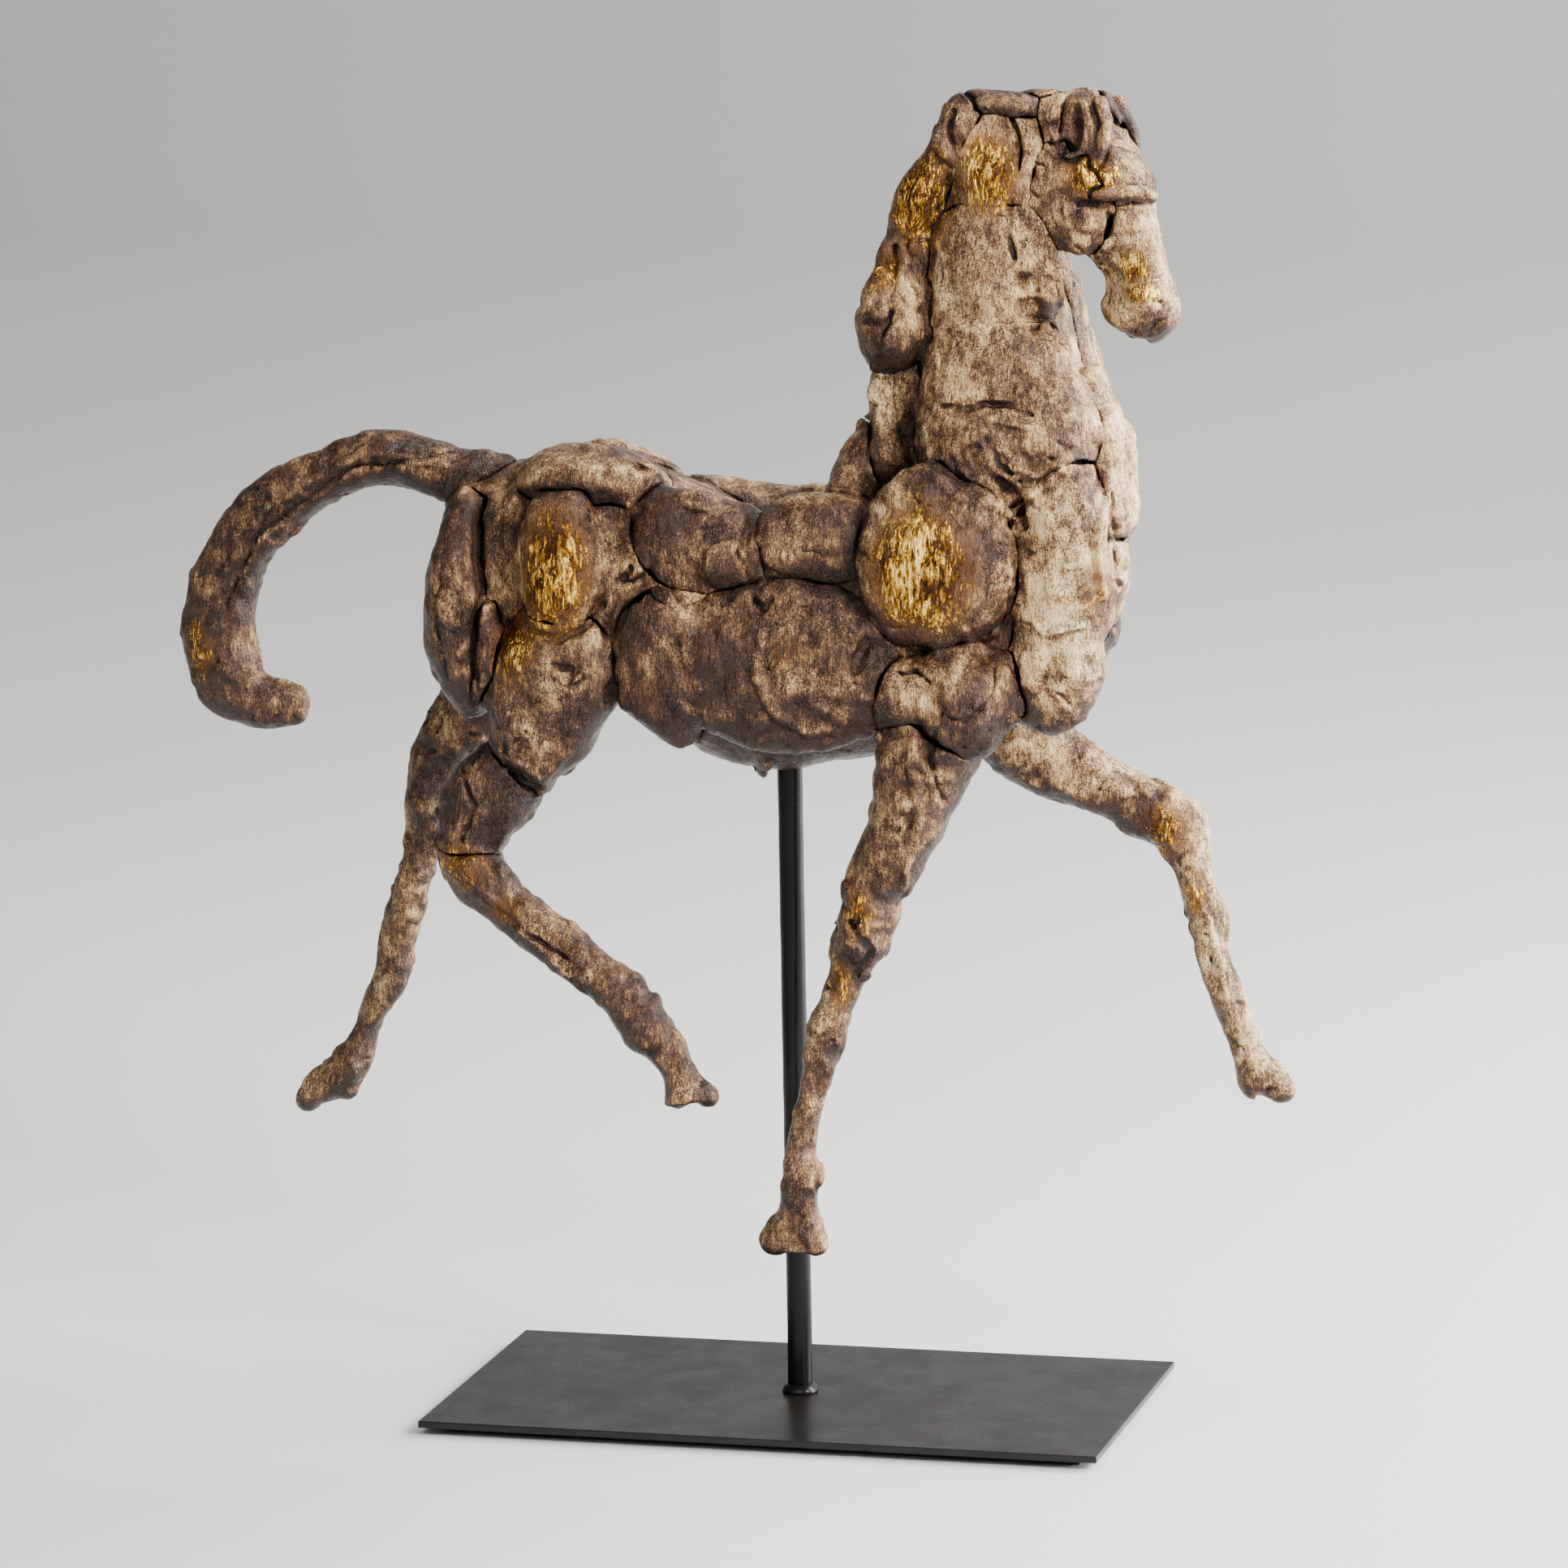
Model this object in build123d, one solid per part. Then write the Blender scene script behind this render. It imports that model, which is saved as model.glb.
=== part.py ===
"""Trotting horse statue built up from hand-shaped slabs, held on a post above a flat plate.

Millimetres, +Z up.  The origin is the middle of the pad's underside, straight below the post.
The horse faces +X; its near side is -Y and its far side is +Y.
"""
import os
from build123d import *

# ---- stand ----
PLATE_LENGTH = 250.0
PLATE_WIDTH = 135.0
PLATE_THICKNESS = 2.5
PAD_INSET = 8.0
PAD_THICKNESS = 3.0
PLATE_TOP = PAD_THICKNESS + PLATE_THICKNESS
POST_DIAMETER = 9.0
POST_TOP = 282.0
WELD_DIAMETER = 13.0
WELD_HEIGHT = 3.0
SOCKET_DIAMETER = 18.0
SOCKET_BOTTOM = 243.0
SOCKET_TOP = 288.0

# ---- horse: sideways offsets from the middle plane ----
LEG_OUT = 28.0          # middle of each leg
BODY_DOWEL = 4.0        # radii of the pins inside
TAIL_DOWEL = 3.0
LEG_DOWEL = 2.5
SMALLEST_SHARE = 0.02   # offcuts under this share of a piece are dropped


def limb(stations):
    """Solid lofted through elliptical sections.

    A station is x, y, z, half width in the side view, half width across the horse.
    Each section stands square to the line through its two neighbours.
    """
    middles = [Vector(x, y, z) for x, y, z, _, _ in stations]
    last = len(middles) - 1
    sections = []
    for i, (_, _, _, side, across) in enumerate(stations):
        along = (middles[min(i + 1, last)] - middles[max(i - 1, 0)]).normalized()
        sideways = Vector(0, 1, 0) - along * along.Y
        plane = Plane(origin=middles[i], x_dir=sideways, z_dir=along)
        sections.append(plane * Ellipse(across, side))
    return loft(sections)


def dome(x, y, z, half_x, half_y, half_z, tilt=0):
    """Egg-shaped lump; tilt turns it nose down in the side view."""
    return Pos(x, y, z) * Rot(0, tilt, 0) * scale(Sphere(1), by=(half_x, half_y, half_z))


# ---- stand pieces ----

def base_plate():
    return Pos(0, 0, PAD_THICKNESS) * extrude(Rectangle(PLATE_LENGTH, PLATE_WIDTH), PLATE_THICKNESS)


def base_pad():
    length = PLATE_LENGTH - 2 * PAD_INSET
    width = PLATE_WIDTH - 2 * PAD_INSET
    return extrude(Rectangle(length, width), PAD_THICKNESS)


def post():
    return Pos(0, 0, PLATE_TOP) * extrude(Circle(POST_DIAMETER / 2), POST_TOP - PLATE_TOP)


def post_weld():
    """Fillet of weld metal round the foot of the post."""
    foot = WELD_DIAMETER / 2
    bead = Polyline((0, 0), (foot, 0), (POST_DIAMETER / 2, WELD_HEIGHT), (0, WELD_HEIGHT), close=True)
    return Pos(0, 0, PLATE_TOP) * revolve(Plane.XZ * make_face(bead), Axis.Z)


def belly_socket():
    """Sleeve cast into the belly; the post is pushed up into it."""
    return Pos(0, 0, SOCKET_BOTTOM) * extrude(Circle(SOCKET_DIAMETER / 2), SOCKET_TOP - SOCKET_BOTTOM)


# ---- steel pins inside the horse ----

def dowel(radius, start, end):
    """Round steel pin from one point to the other."""
    bottom, top = Vector(*start), Vector(*end)
    plane = Plane(origin=bottom, z_dir=(top - bottom).normalized())
    return plane * extrude(Circle(radius), (top - bottom).length)


def body_dowels():
    """Pins that hold the tail, the neck and the head."""
    tail_pin = dowel(TAIL_DOWEL, (-96, 0, 331), (-134, 0, 343))
    neck_pin = dowel(BODY_DOWEL, (62, 0, 296), (80, 0, 372))
    head_pin = dowel(BODY_DOWEL, (82, 0, 432), (114, 0, 447))
    return [tail_pin, neck_pin, head_pin]


def hip_dowels():
    """Pins from the body into the tops of the four legs."""
    near_hind = dowel(LEG_DOWEL, (-78, -24, 274), (-100, -LEG_OUT, 236))
    far_hind = dowel(LEG_DOWEL, (-92, 12, 296), (-118, 25, 260))
    near_fore = dowel(LEG_DOWEL, (64, -20, 282), (57, -LEG_OUT, 244))
    far_fore = dowel(LEG_DOWEL, (62, 14, 276), (88, LEG_OUT, 240))
    return [near_hind, far_hind, near_fore, far_fore]


def shin_dowels():
    """Pins inside the two hocks and the two knees."""
    near_hock = dowel(LEG_DOWEL, (-108, -LEG_OUT, 224), (-112, -LEG_OUT, 204))
    far_hock = dowel(LEG_DOWEL, (-143, LEG_OUT, 226), (-148, LEG_OUT, 200))
    near_knee = dowel(LEG_DOWEL, (41, -LEG_OUT, 206), (34, -LEG_OUT, 184))
    far_knee = dowel(LEG_DOWEL, (118, LEG_OUT, 223), (137, LEG_OUT, 212))
    return [near_hock, far_hock, near_knee, far_knee]


# ---- rump ----

def croup_slab():
    return limb([(-92, -13, 340, 5, 9), (-84, -14, 343, 9, 16), (-66, -14, 344, 10, 18),
                 (-50, -13, 340, 9, 15), (-41, -12, 336, 4, 8)])


def far_croup_slab():
    return limb([(-96, 12, 338, 5, 9), (-84, 14, 341, 9, 16), (-66, 15, 341, 9, 17),
                 (-48, 14, 336, 7, 12), (-42, 13, 334, 4, 8)])


def haunch_slab():
    return limb([(-74, -31, 339, 8, 4), (-74, -33, 333, 13, 7), (-74, -35, 317, 14, 8),
                 (-74, -36, 304, 13, 8), (-74, -35, 296, 9, 6), (-74, -34, 292, 4, 3)])


def far_haunch_slab():
    return limb([(-82, 31, 334, 10, 4), (-82, 33, 327, 19, 7), (-80, 34, 308, 23, 8),
                 (-80, 33, 288, 22, 8), (-84, 31, 272, 16, 7), (-88, 29, 262, 8, 5)])


def thigh_slab():
    return limb([(-79, -33, 298, 8, 5), (-78, -33, 289, 17, 9), (-77, -32, 272, 23, 13),
                 (-83, -30, 256, 22, 13), (-88, -29, 244, 16, 12), (-92, -28, 236, 10, 8)])


def buttock_slab():
    return limb([(-110, -15, 335, 5, 8), (-115, -17, 320, 9, 16), (-116, -19, 303, 11.5, 18),
                 (-116, -20, 285, 12, 18), (-114, -20, 268, 10, 15), (-111, -20, 257, 5, 9)])


def buttock_sliver():
    return limb([(-103, -32, 298, 2, 3), (-102, -33, 287, 4, 5), (-102, -33, 276, 4, 5),
                 (-105, -31, 267, 2, 3)])


# ---- loins and barrel ----

def loin_rear_slab():
    return limb([(-47, -22, 323, 9, 7), (-40, -23, 323, 17, 13), (-24, -24, 320, 18, 14),
                 (-9, -23, 318, 16, 12), (-1, -22, 317, 9, 7)])


def loin_front_slab():
    return limb([(-2, -20, 320, 8, 7), (7, -22, 321, 16, 13), (22, -23, 322, 17, 13),
                 (35, -22, 322, 15, 11), (42, -21, 321, 7, 6)])


def far_loin_slab():
    return limb([(-50, 21, 320, 8, 7), (-37, 23, 320, 18, 13), (-10, 23, 317, 19, 14),
                 (20, 23, 318, 18, 13), (36, 21, 319, 8, 7)])


def flank_slab():
    return limb([(-40, -31, 303, 6, 5), (-39, -33, 297, 13, 8), (-38, -34, 280, 16, 9),
                 (-37, -31, 262, 15, 9), (-35, -27, 249, 9, 6)])


def far_flank_slab():
    return limb([(-54, 29, 301, 7, 5), (-52, 31, 292, 17, 9), (-48, 31, 272, 18, 9),
                 (-44, 27, 254, 9, 6)])


def belly_slab():
    return limb([(-31, -31, 280, 10, 6), (-22, -33, 280, 21, 9), (-2, -33, 278, 29, 11),
                 (22, -33, 278, 29, 11), (38, -32, 277, 21, 9), (47, -30, 276, 9, 5)])


def far_belly_slab():
    return limb([(-32, 30, 278, 9, 6), (-20, 32, 278, 22, 9), (2, 33, 277, 28, 11),
                 (24, 33, 276, 27, 11), (42, 30, 275, 14, 7)])


# ---- shoulder and breast ----

def shoulder_slab():
    return limb([(60, -29, 349, 6, 4), (60, -32, 343, 15, 8), (62, -34, 330, 26, 10),
                 (64, -36, 314, 28, 11), (66, -35, 300, 24, 10), (67, -33, 291, 14, 7)])


def far_shoulder_slab():
    return limb([(58, 28, 350, 7, 4), (58, 31, 342, 18, 8), (62, 33, 326, 27, 10),
                 (66, 34, 306, 27, 11), (68, 33, 288, 22, 9), (68, 31, 276, 10, 6)])


def elbow_slab():
    return limb([(40, -30, 270, 5, 4), (45, -32, 270, 12, 8), (53, -34, 270, 12, 9),
                 (61, -35, 271, 15, 10), (73, -36, 268, 19, 11), (85, -34, 269, 15, 8),
                 (92, -31, 270, 7, 4)])


def breast_slab():
    return limb([(111, -20, 355, 3, 3), (109, -24, 347, 9, 7), (108, -26, 335, 14, 9),
                 (108, -28, 320, 16, 11), (107, -28, 306, 16, 11), (106, -26, 295, 14, 10)])


def lower_breast_slab():
    return limb([(106, -26, 299, 14, 10), (105, -25, 289, 16, 12), (104, -24, 277, 17, 13),
                 (101, -22, 265, 14, 11), (97, -20, 257, 7, 7)])


def chest_strips():
    upper = limb([(114, -5, 384, 3, 4), (117, -6, 370, 6, 9), (121, -6, 352, 7, 13),
                  (122, -6, 336, 7, 15), (122, -6, 325, 4, 10)])
    lower = limb([(121, -6, 322, 4, 10), (120, -7, 312, 7, 15), (117, -8, 297, 6, 14),
                  (113, -8, 286, 4, 8)])
    return [upper, lower]


# ---- neck and mane ----

def crest_slab():
    return limb([(82, -8, 470, 7, 5), (80, -10, 461, 11, 8), (79, -11, 449, 11, 8),
                 (78, -10, 439, 7, 5)])


def neck_slab():
    return limb([(80, -10, 440, 10, 5), (80, -12, 431, 20, 9), (81, -13, 415, 23, 11),
                 (83, -14, 404, 24, 11), (84, -14, 399, 19, 8)])


def neck_base_slab():
    return limb([(84, -15, 398, 19, 8), (84, -17, 390, 26, 12), (84, -19, 373, 31, 14),
                 (88, -21, 357, 32, 14), (90, -21, 346, 26, 11), (92, -20, 339, 13, 6)])


def far_neck_slab():
    return limb([(80, 10, 428, 10, 5), (80, 13, 418, 21, 10), (81, 17, 396, 27, 12),
                 (84, 20, 370, 31, 13), (88, 21, 352, 27, 11), (90, 20, 342, 12, 6)])


def withers_lock():
    return limb([(34, -7, 362, 4, 5), (32, -8, 354, 8, 9), (28, -8, 343, 10, 11),
                 (24, -8, 334, 8, 9), (20, -7, 329, 4, 5)])


def mane_strand():
    return limb([(40, -8, 382, 4, 6), (40, -8, 372, 6, 8), (41, -9, 358, 7, 9),
                 (43, -9, 347, 7, 8), (45, -9, 340, 4, 5)])


def mane_teardrop():
    return limb([(51, -9, 428, 3, 4), (47, -10, 416, 8, 8), (44, -11, 404, 11, 10),
                 (42, -11, 393, 13, 10), (41, -10, 386, 10, 8), (40, -9, 382, 5, 4)])


def mane_bump():
    return limb([(44, -3, 428, 3, 4), (42, -3, 420, 5, 7), (41, -3, 411, 5, 7), (42, -3, 404, 3, 4)])


def mane_gold_lock():
    return limb([(63, -8, 464, 4, 5), (58, -9, 453, 7, 8), (52, -10, 441, 8, 9),
                 (48, -9, 430, 6, 7), (47, -8, 423, 3, 4)])


def mane_upper_lock():
    return limb([(73, -8, 477, 4, 5), (69, -10, 471, 7, 8), (66, -11, 464, 6, 8),
                 (66, -10, 457, 3, 5)])


def poll_lock():
    return limb([(68, -3, 473, 3, 5), (74, -4, 476, 5, 9), (85, -5, 476, 5, 10), (94, -5, 474, 3, 7)])


# ---- head ----

def near_ear():
    """Curled ear with a hollow facing out."""
    ear = limb([(112, -8, 482, 3, 3), (113, -10, 475, 7, 5), (113, -11, 466, 7, 6),
                (111, -10, 458, 4, 4)])
    return ear - dome(113, -17, 470, 4, 4, 7)


def far_ear():
    return limb([(114, 9, 481, 3, 4), (115, 9, 475, 5, 6), (117, 8, 466, 5, 6), (119, 7, 458, 3, 4)])


def cheek_slab():
    return limb([(109, -9, 463, 6, 4), (109, -10, 457, 12, 6), (109, -11, 444, 14.5, 7),
                 (110, -10, 431, 11, 6), (110, -9, 425, 5, 4)])


def far_cheek_slab():
    return limb([(108, 9, 460, 6, 4), (108, 10, 454, 12, 6), (108, 11, 442, 14, 7),
                 (109, 9, 428, 8, 5)])


def brow_slab():
    return limb([(114, -10, 455, 5, 4), (120, -10, 452, 8, 6), (130, -7, 449, 7, 6),
                 (136, -4, 446, 3, 4)])


def nasal_slab():
    return limb([(127, -7, 441, 4, 4), (130, -8, 434, 7, 5), (133, -7, 424, 6, 5), (135, -6, 417, 3, 3)])


def muzzle():
    return limb([(132, 0, 413, 8, 8), (133, 0, 405, 11, 10), (133, 0, 398, 10, 9),
                 (132, 0, 393, 5, 5)])


def chin():
    return limb([(118, 0, 407, 2, 4), (121, 0, 403, 4.5, 6), (125, 0, 399, 3, 4)])


def skull():
    return limb([(98, 0, 477, 8, 8), (104, 0, 467, 14, 12), (112, 0, 452, 19, 13),
                 (119, 0, 438, 17, 12), (127, 0, 422, 12, 10), (131, 0, 409, 9, 9)])


# ---- legs ----

def near_hind_gaskin():
    return limb([(-94, -LEG_OUT, 243, 10, 8), (-99, -LEG_OUT, 235, 16, 12),
                 (-107, -LEG_OUT, 224, 17, 13), (-112, -LEG_OUT, 213, 13, 12),
                 (-114, -LEG_OUT, 206, 9, 9)])


def near_hind_cannon():
    return limb([(-113, -LEG_OUT, 214, 8, 8), (-113, -LEG_OUT, 207, 11, 10),
                 (-108, -LEG_OUT, 197, 11, 10), (-97, -LEG_OUT, 188, 10, 9),
                 (-84, -LEG_OUT, 178, 9, 8.5), (-72, -LEG_OUT, 169, 8.5, 8),
                 (-60, -LEG_OUT, 160, 9, 8.5), (-50, -LEG_OUT, 149, 9.5, 8.5),
                 (-43, -LEG_OUT, 141, 8, 8), (-37, -LEG_OUT, 131, 6.5, 7),
                 (-34, -LEG_OUT, 123, 8, 8), (-33, -LEG_OUT, 118, 10, 8)])


def far_hind_gaskin():
    return limb([(-98, 20, 292, 20, 10), (-108, 23, 272, 20, 13), (-122, 26, 254, 16, 13),
                 (-135, LEG_OUT, 240, 13, 12), (-143, LEG_OUT, 226, 10, 10),
                 (-145, LEG_OUT, 212, 8, 8)])


def far_hind_cannon():
    return limb([(-145, LEG_OUT, 214, 8, 8), (-148, LEG_OUT, 197, 8, 8), (-152, LEG_OUT, 184, 7.5, 8),
                 (-157, LEG_OUT, 169, 8, 8), (-161, LEG_OUT, 154, 7.5, 7.5),
                 (-165, LEG_OUT, 142, 7, 7), (-170, LEG_OUT, 131, 6, 6.5),
                 (-175, LEG_OUT, 120, 7.5, 7.5), (-183, LEG_OUT, 111, 8, 8),
                 (-192, LEG_OUT, 104, 6, 7), (-197, LEG_OUT, 101, 3, 5)])


def near_fore_arm():
    return limb([(62, -24, 270, 20, 13), (60, -LEG_OUT, 251, 18, 14), (53, -LEG_OUT, 234, 16, 13),
                 (48, -LEG_OUT, 218, 14, 12), (41, -LEG_OUT, 205, 12, 11), (36, -LEG_OUT, 195, 10, 10)])


def near_fore_cannon():
    return limb([(37, -LEG_OUT, 197, 9, 9), (35, -LEG_OUT, 190, 11, 10), (32, -LEG_OUT, 180, 11, 10),
                 (28, -LEG_OUT, 169, 9.5, 9), (23, -LEG_OUT, 155, 8, 8), (19, -LEG_OUT, 142, 8, 8),
                 (16, -LEG_OUT, 131, 7, 7.5), (13, -LEG_OUT, 119, 6, 6.5), (10, -LEG_OUT, 109, 6.5, 7),
                 (8, -LEG_OUT, 100, 7, 7.5), (8, -LEG_OUT, 90, 6.5, 7), (8, -LEG_OUT, 80, 8, 8),
                 (8, -LEG_OUT, 70, 10, 9), (8, -LEG_OUT, 64, 10.5, 9)])


def far_fore_arm():
    return limb([(66, 24, 262, 18, 13), (80, LEG_OUT, 243, 15, 13), (92, LEG_OUT, 236, 14, 12),
                 (105, LEG_OUT, 230, 12, 11), (118, LEG_OUT, 223, 11, 10),
                 (130, LEG_OUT, 217, 10, 10)])


def far_fore_cannon():
    return limb([(130, LEG_OUT, 217, 9, 9), (138, LEG_OUT, 212, 11, 10), (141, LEG_OUT, 201, 8.5, 9),
                 (144, LEG_OUT, 189, 8, 8), (147, LEG_OUT, 177, 7.5, 7.5), (150, LEG_OUT, 164, 7.5, 7.5),
                 (154, LEG_OUT, 151, 7.5, 7.5), (158, LEG_OUT, 140, 7, 7.5),
                 (161, LEG_OUT, 132, 7.5, 8), (165, LEG_OUT, 124, 9.5, 9), (169, LEG_OUT, 119, 9, 8)])


# ---- tail ----

def tail_tip():
    return limb([(-214, 0, 268, 12, 9), (-210, 0, 260, 13, 10), (-200, 0, 255, 11, 9),
                 (-190, 0, 254, 10, 8), (-181, 0, 253, 5, 5)])


def tail():
    return limb([(-108, 0, 334, 13, 11), (-122, 0, 340, 10.5, 10.5), (-138, 0, 345, 10, 10),
                 (-152, 0, 346, 10, 9.5), (-166, 0, 342.5, 10, 9.5), (-178, 0, 337, 11, 10),
                 (-190, 0, 329, 12, 10), (-201, 0, 319, 13, 10.5), (-209, 0, 306, 13.5, 10.5),
                 (-214, 0, 292, 14, 10.5), (-215, 0, 279, 14, 10.5), (-213, 0, 266, 12, 10)])


# ---- cores that the slabs are laid on ----

def neck_core():
    return limb([(85, 0, 308, 34, 22), (84, 0, 330, 41, 26), (84, 0, 350, 35, 25), (80, 0, 370, 32, 22),
                 (80, 0, 390, 27, 19), (77, 0, 410, 25, 17), (79, 0, 430, 22, 16), (85, 0, 450, 22, 15),
                 (88, 0, 466, 18, 13), (90, 0, 474, 10, 9)])


def torso_core():
    return limb([(-120, 0, 303, 20, 12), (-112, 0, 305, 34, 24), (-96, 0, 307, 39, 31),
                 (-70, 0, 308, 41, 34), (-45, 0, 298, 43, 34), (-20, 0, 284, 46, 34),
                 (8, 0, 284, 47, 34), (35, 0, 290, 46, 34), (60, 0, 296, 45, 33),
                 (85, 0, 300, 44, 30), (105, 0, 304, 36, 24), (119, 0, 306, 24, 13)])


# A piece is cut back where an earlier one in this list already is.
PIECES = [
    post, post_weld, belly_socket, body_dowels, hip_dowels, shin_dowels,
    base_plate, base_pad,
    near_ear, far_ear, poll_lock, mane_upper_lock, mane_gold_lock, mane_teardrop, mane_bump,
    withers_lock, mane_strand, brow_slab, nasal_slab, cheek_slab, far_cheek_slab, chin, muzzle,
    crest_slab, neck_base_slab, neck_slab, far_neck_slab,
    elbow_slab, shoulder_slab, breast_slab, lower_breast_slab, far_shoulder_slab, chest_strips,
    belly_slab, flank_slab, loin_rear_slab, loin_front_slab, far_belly_slab, far_flank_slab,
    far_loin_slab, croup_slab, haunch_slab, buttock_sliver, buttock_slab, thigh_slab,
    far_croup_slab, far_haunch_slab,
    near_hind_gaskin, near_hind_cannon, near_fore_arm, near_fore_cannon,
    far_hind_gaskin, far_hind_cannon, far_fore_arm, far_fore_cannon,
    tail_tip, tail, skull, neck_core, torso_core,
]


def solids_of(shape):
    return shape.solids() if not isinstance(shape, list) else [s for part in shape for s in part.solids()]


def boxes_meet(a, b):
    return (a.min.X < b.max.X and b.min.X < a.max.X and a.min.Y < b.max.Y and b.min.Y < a.max.Y
            and a.min.Z < b.max.Z and b.min.Z < a.max.Z)


def cut_back(solid, box, earlier):
    """The solid without what earlier solids fill, and without small offcuts."""
    tools = [other for other, other_box in earlier if boxes_meet(box, other_box)]
    if not tools:
        return [solid]
    left = (solid - tools).solids()
    largest = max(piece.volume for piece in left)
    return [piece for piece in left if piece.volume > SMALLEST_SHARE * largest]


os.makedirs("parts", exist_ok=True)
placed = []
for make in PIECES:
    whole = [(solid, solid.bounding_box()) for solid in solids_of(make())]
    kept = [piece for solid, box in whole for piece in cut_back(solid, box, placed)]
    placed += whole
    export_step(kept[0] if len(kept) == 1 else Compound(kept), f"parts/{make.__name__}.step")
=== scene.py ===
import itertools
import math

import bmesh
import bpy
import numpy as np
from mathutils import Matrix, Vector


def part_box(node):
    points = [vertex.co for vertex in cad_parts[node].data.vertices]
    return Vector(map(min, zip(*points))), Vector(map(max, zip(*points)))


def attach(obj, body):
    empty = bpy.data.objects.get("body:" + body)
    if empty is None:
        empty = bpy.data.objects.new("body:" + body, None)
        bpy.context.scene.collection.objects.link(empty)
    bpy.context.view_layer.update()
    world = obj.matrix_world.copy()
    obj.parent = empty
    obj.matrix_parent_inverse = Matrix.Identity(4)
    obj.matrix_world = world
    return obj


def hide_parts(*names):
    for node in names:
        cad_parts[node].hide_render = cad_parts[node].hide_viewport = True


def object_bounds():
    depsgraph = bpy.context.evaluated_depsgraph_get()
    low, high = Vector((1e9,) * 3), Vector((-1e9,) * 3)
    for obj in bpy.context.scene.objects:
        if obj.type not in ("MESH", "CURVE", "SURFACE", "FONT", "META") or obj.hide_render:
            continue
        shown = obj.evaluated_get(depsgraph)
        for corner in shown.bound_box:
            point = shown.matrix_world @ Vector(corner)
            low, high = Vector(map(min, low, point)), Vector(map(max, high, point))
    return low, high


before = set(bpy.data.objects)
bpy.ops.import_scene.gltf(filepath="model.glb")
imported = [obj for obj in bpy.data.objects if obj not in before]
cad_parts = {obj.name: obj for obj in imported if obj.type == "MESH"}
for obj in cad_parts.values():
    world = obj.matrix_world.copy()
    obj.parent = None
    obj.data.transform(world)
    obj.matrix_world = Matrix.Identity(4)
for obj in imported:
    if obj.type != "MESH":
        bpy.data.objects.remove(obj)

import openvdb
from mathutils import Matrix, Vector

CAD_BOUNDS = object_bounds()
MM = 0.001

STAND = ["base_plate", "base_pad", "post", "post_weld"]
HIDDEN = ["belly_socket", "body_dowels", "hip_dowels", "shin_dowels"]
HORSE = sorted(set(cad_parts) - set(STAND) - set(HIDDEN))

# ---- how the slabs are modelled ----
VOXEL = 0.8 * MM
REACH = 8.0 * MM             # how far from a piece its distance field is known
FILL = 2.8 * MM              # how softly clay fills the corners between slabs
INSET = 0.9 * MM             # makes room for the dabs
GAP = 0.02 * MM              # half the usual width of a seam
GAP_SWING = 0.30 * MM        # how much wider it opens, or how far it closes
LAP = 0.35 * MM              # how far fused neighbours run into each other
MOST_QUADS = 95000           # finer meshes than this are thinned
WAVER = 0.8 * MM             # how far outlines are moved off the regular
HEAD_FOOT = 400 * MM         # pieces from this height up are the head's
LIMBS = [n for n in HORSE if n.endswith(("_arm", "_cannon", "_gaskin")) or n.startswith("tail")]
SEALED = LIMBS + ["nasal_slab", "muzzle", "chin", "skull", "brow_slab", "neck_slab", "crest_slab"]
SMOOTH = ["breast_slab", "lower_breast_slab", "chest_strips", "neck_base_slab", "neck_slab",
          "belly_slab", "shoulder_slab", "elbow_slab"]
BARE = ["near_ear", "far_ear", "brow_slab"]    # left without dabs
NEAR, FAR = -1, 1            # the two sides of the horse along y

# neighbours smoothed together, with no crease between them
FUSED = [
    {"neck_slab", "neck_base_slab"}, {"neck_slab", "crest_slab"},
    {"breast_slab", "lower_breast_slab"}, {"belly_slab", "flank_slab"},
    {"far_belly_slab", "far_flank_slab"}, {"haunch_slab", "torso_core"},
    {"far_haunch_slab", "torso_core"}, {"tail", "tail_tip"},
    {"skull", "nasal_slab"}, {"skull", "muzzle"}, {"skull", "chin"},
    {"nasal_slab", "muzzle"}, {"muzzle", "chin"},
    {"near_fore_arm", "near_fore_cannon"}, {"far_fore_arm", "far_fore_cannon"},
    {"far_hind_gaskin", "far_hind_cannon"},
]

# how much paler or darker than the rest a piece is coloured: the belly, rump, tail and near hind leg
# darker, the chest paler
TONE = {
    "torso_core": -0.1, "belly_slab": -0.27, "flank_slab": -0.26,
    "loin_rear_slab": -0.23, "loin_front_slab": -0.14, "croup_slab": -0.03,
    "haunch_slab": -0.06, "buttock_slab": -0.28, "buttock_sliver": -0.2,
    "thigh_slab": -0.18, "shoulder_slab": -0.08, "elbow_slab": -0.13,
    "breast_slab": 0.13, "lower_breast_slab": 0.12, "chest_strips": 0.2,
    "neck_core": 0.12, "neck_slab": 0.03, "neck_base_slab": 0.03,
    "withers_lock": -0.1, "mane_strand": -0.08, "mane_teardrop": -0.18,
    "mane_bump": -0.2, "mane_upper_lock": -0.26, "poll_lock": -0.26,
    "skull": 0.04, "cheek_slab": 0.04, "brow_slab": -0.1, "nasal_slab": -0.07,
    "muzzle": -0.09, "chin": -0.09, "near_ear": -0.16, "far_ear": -0.1,
    "near_hind_gaskin": -0.3, "near_hind_cannon": -0.27,
    "far_hind_gaskin": -0.14, "far_hind_cannon": -0.12,
    "near_fore_arm": -0.1, "near_fore_cannon": -0.2, "far_fore_cannon": 0.02,
    "tail": -0.28, "tail_tip": -0.18,
}


# ======== numbers on points

def swing(x, y, z):
    """From -1 where seams are closed to 1 where they gape, in waves some 50 mm long."""
    first = np.sin(x / (7 * MM) + y / (9 * MM)) * np.sin(z / (8 * MM) - x / (23 * MM))
    return 0.7 * first + 0.3 * np.sin(x / (3.1 * MM) + z / (3.7 * MM) + 2.0 * first)


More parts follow.
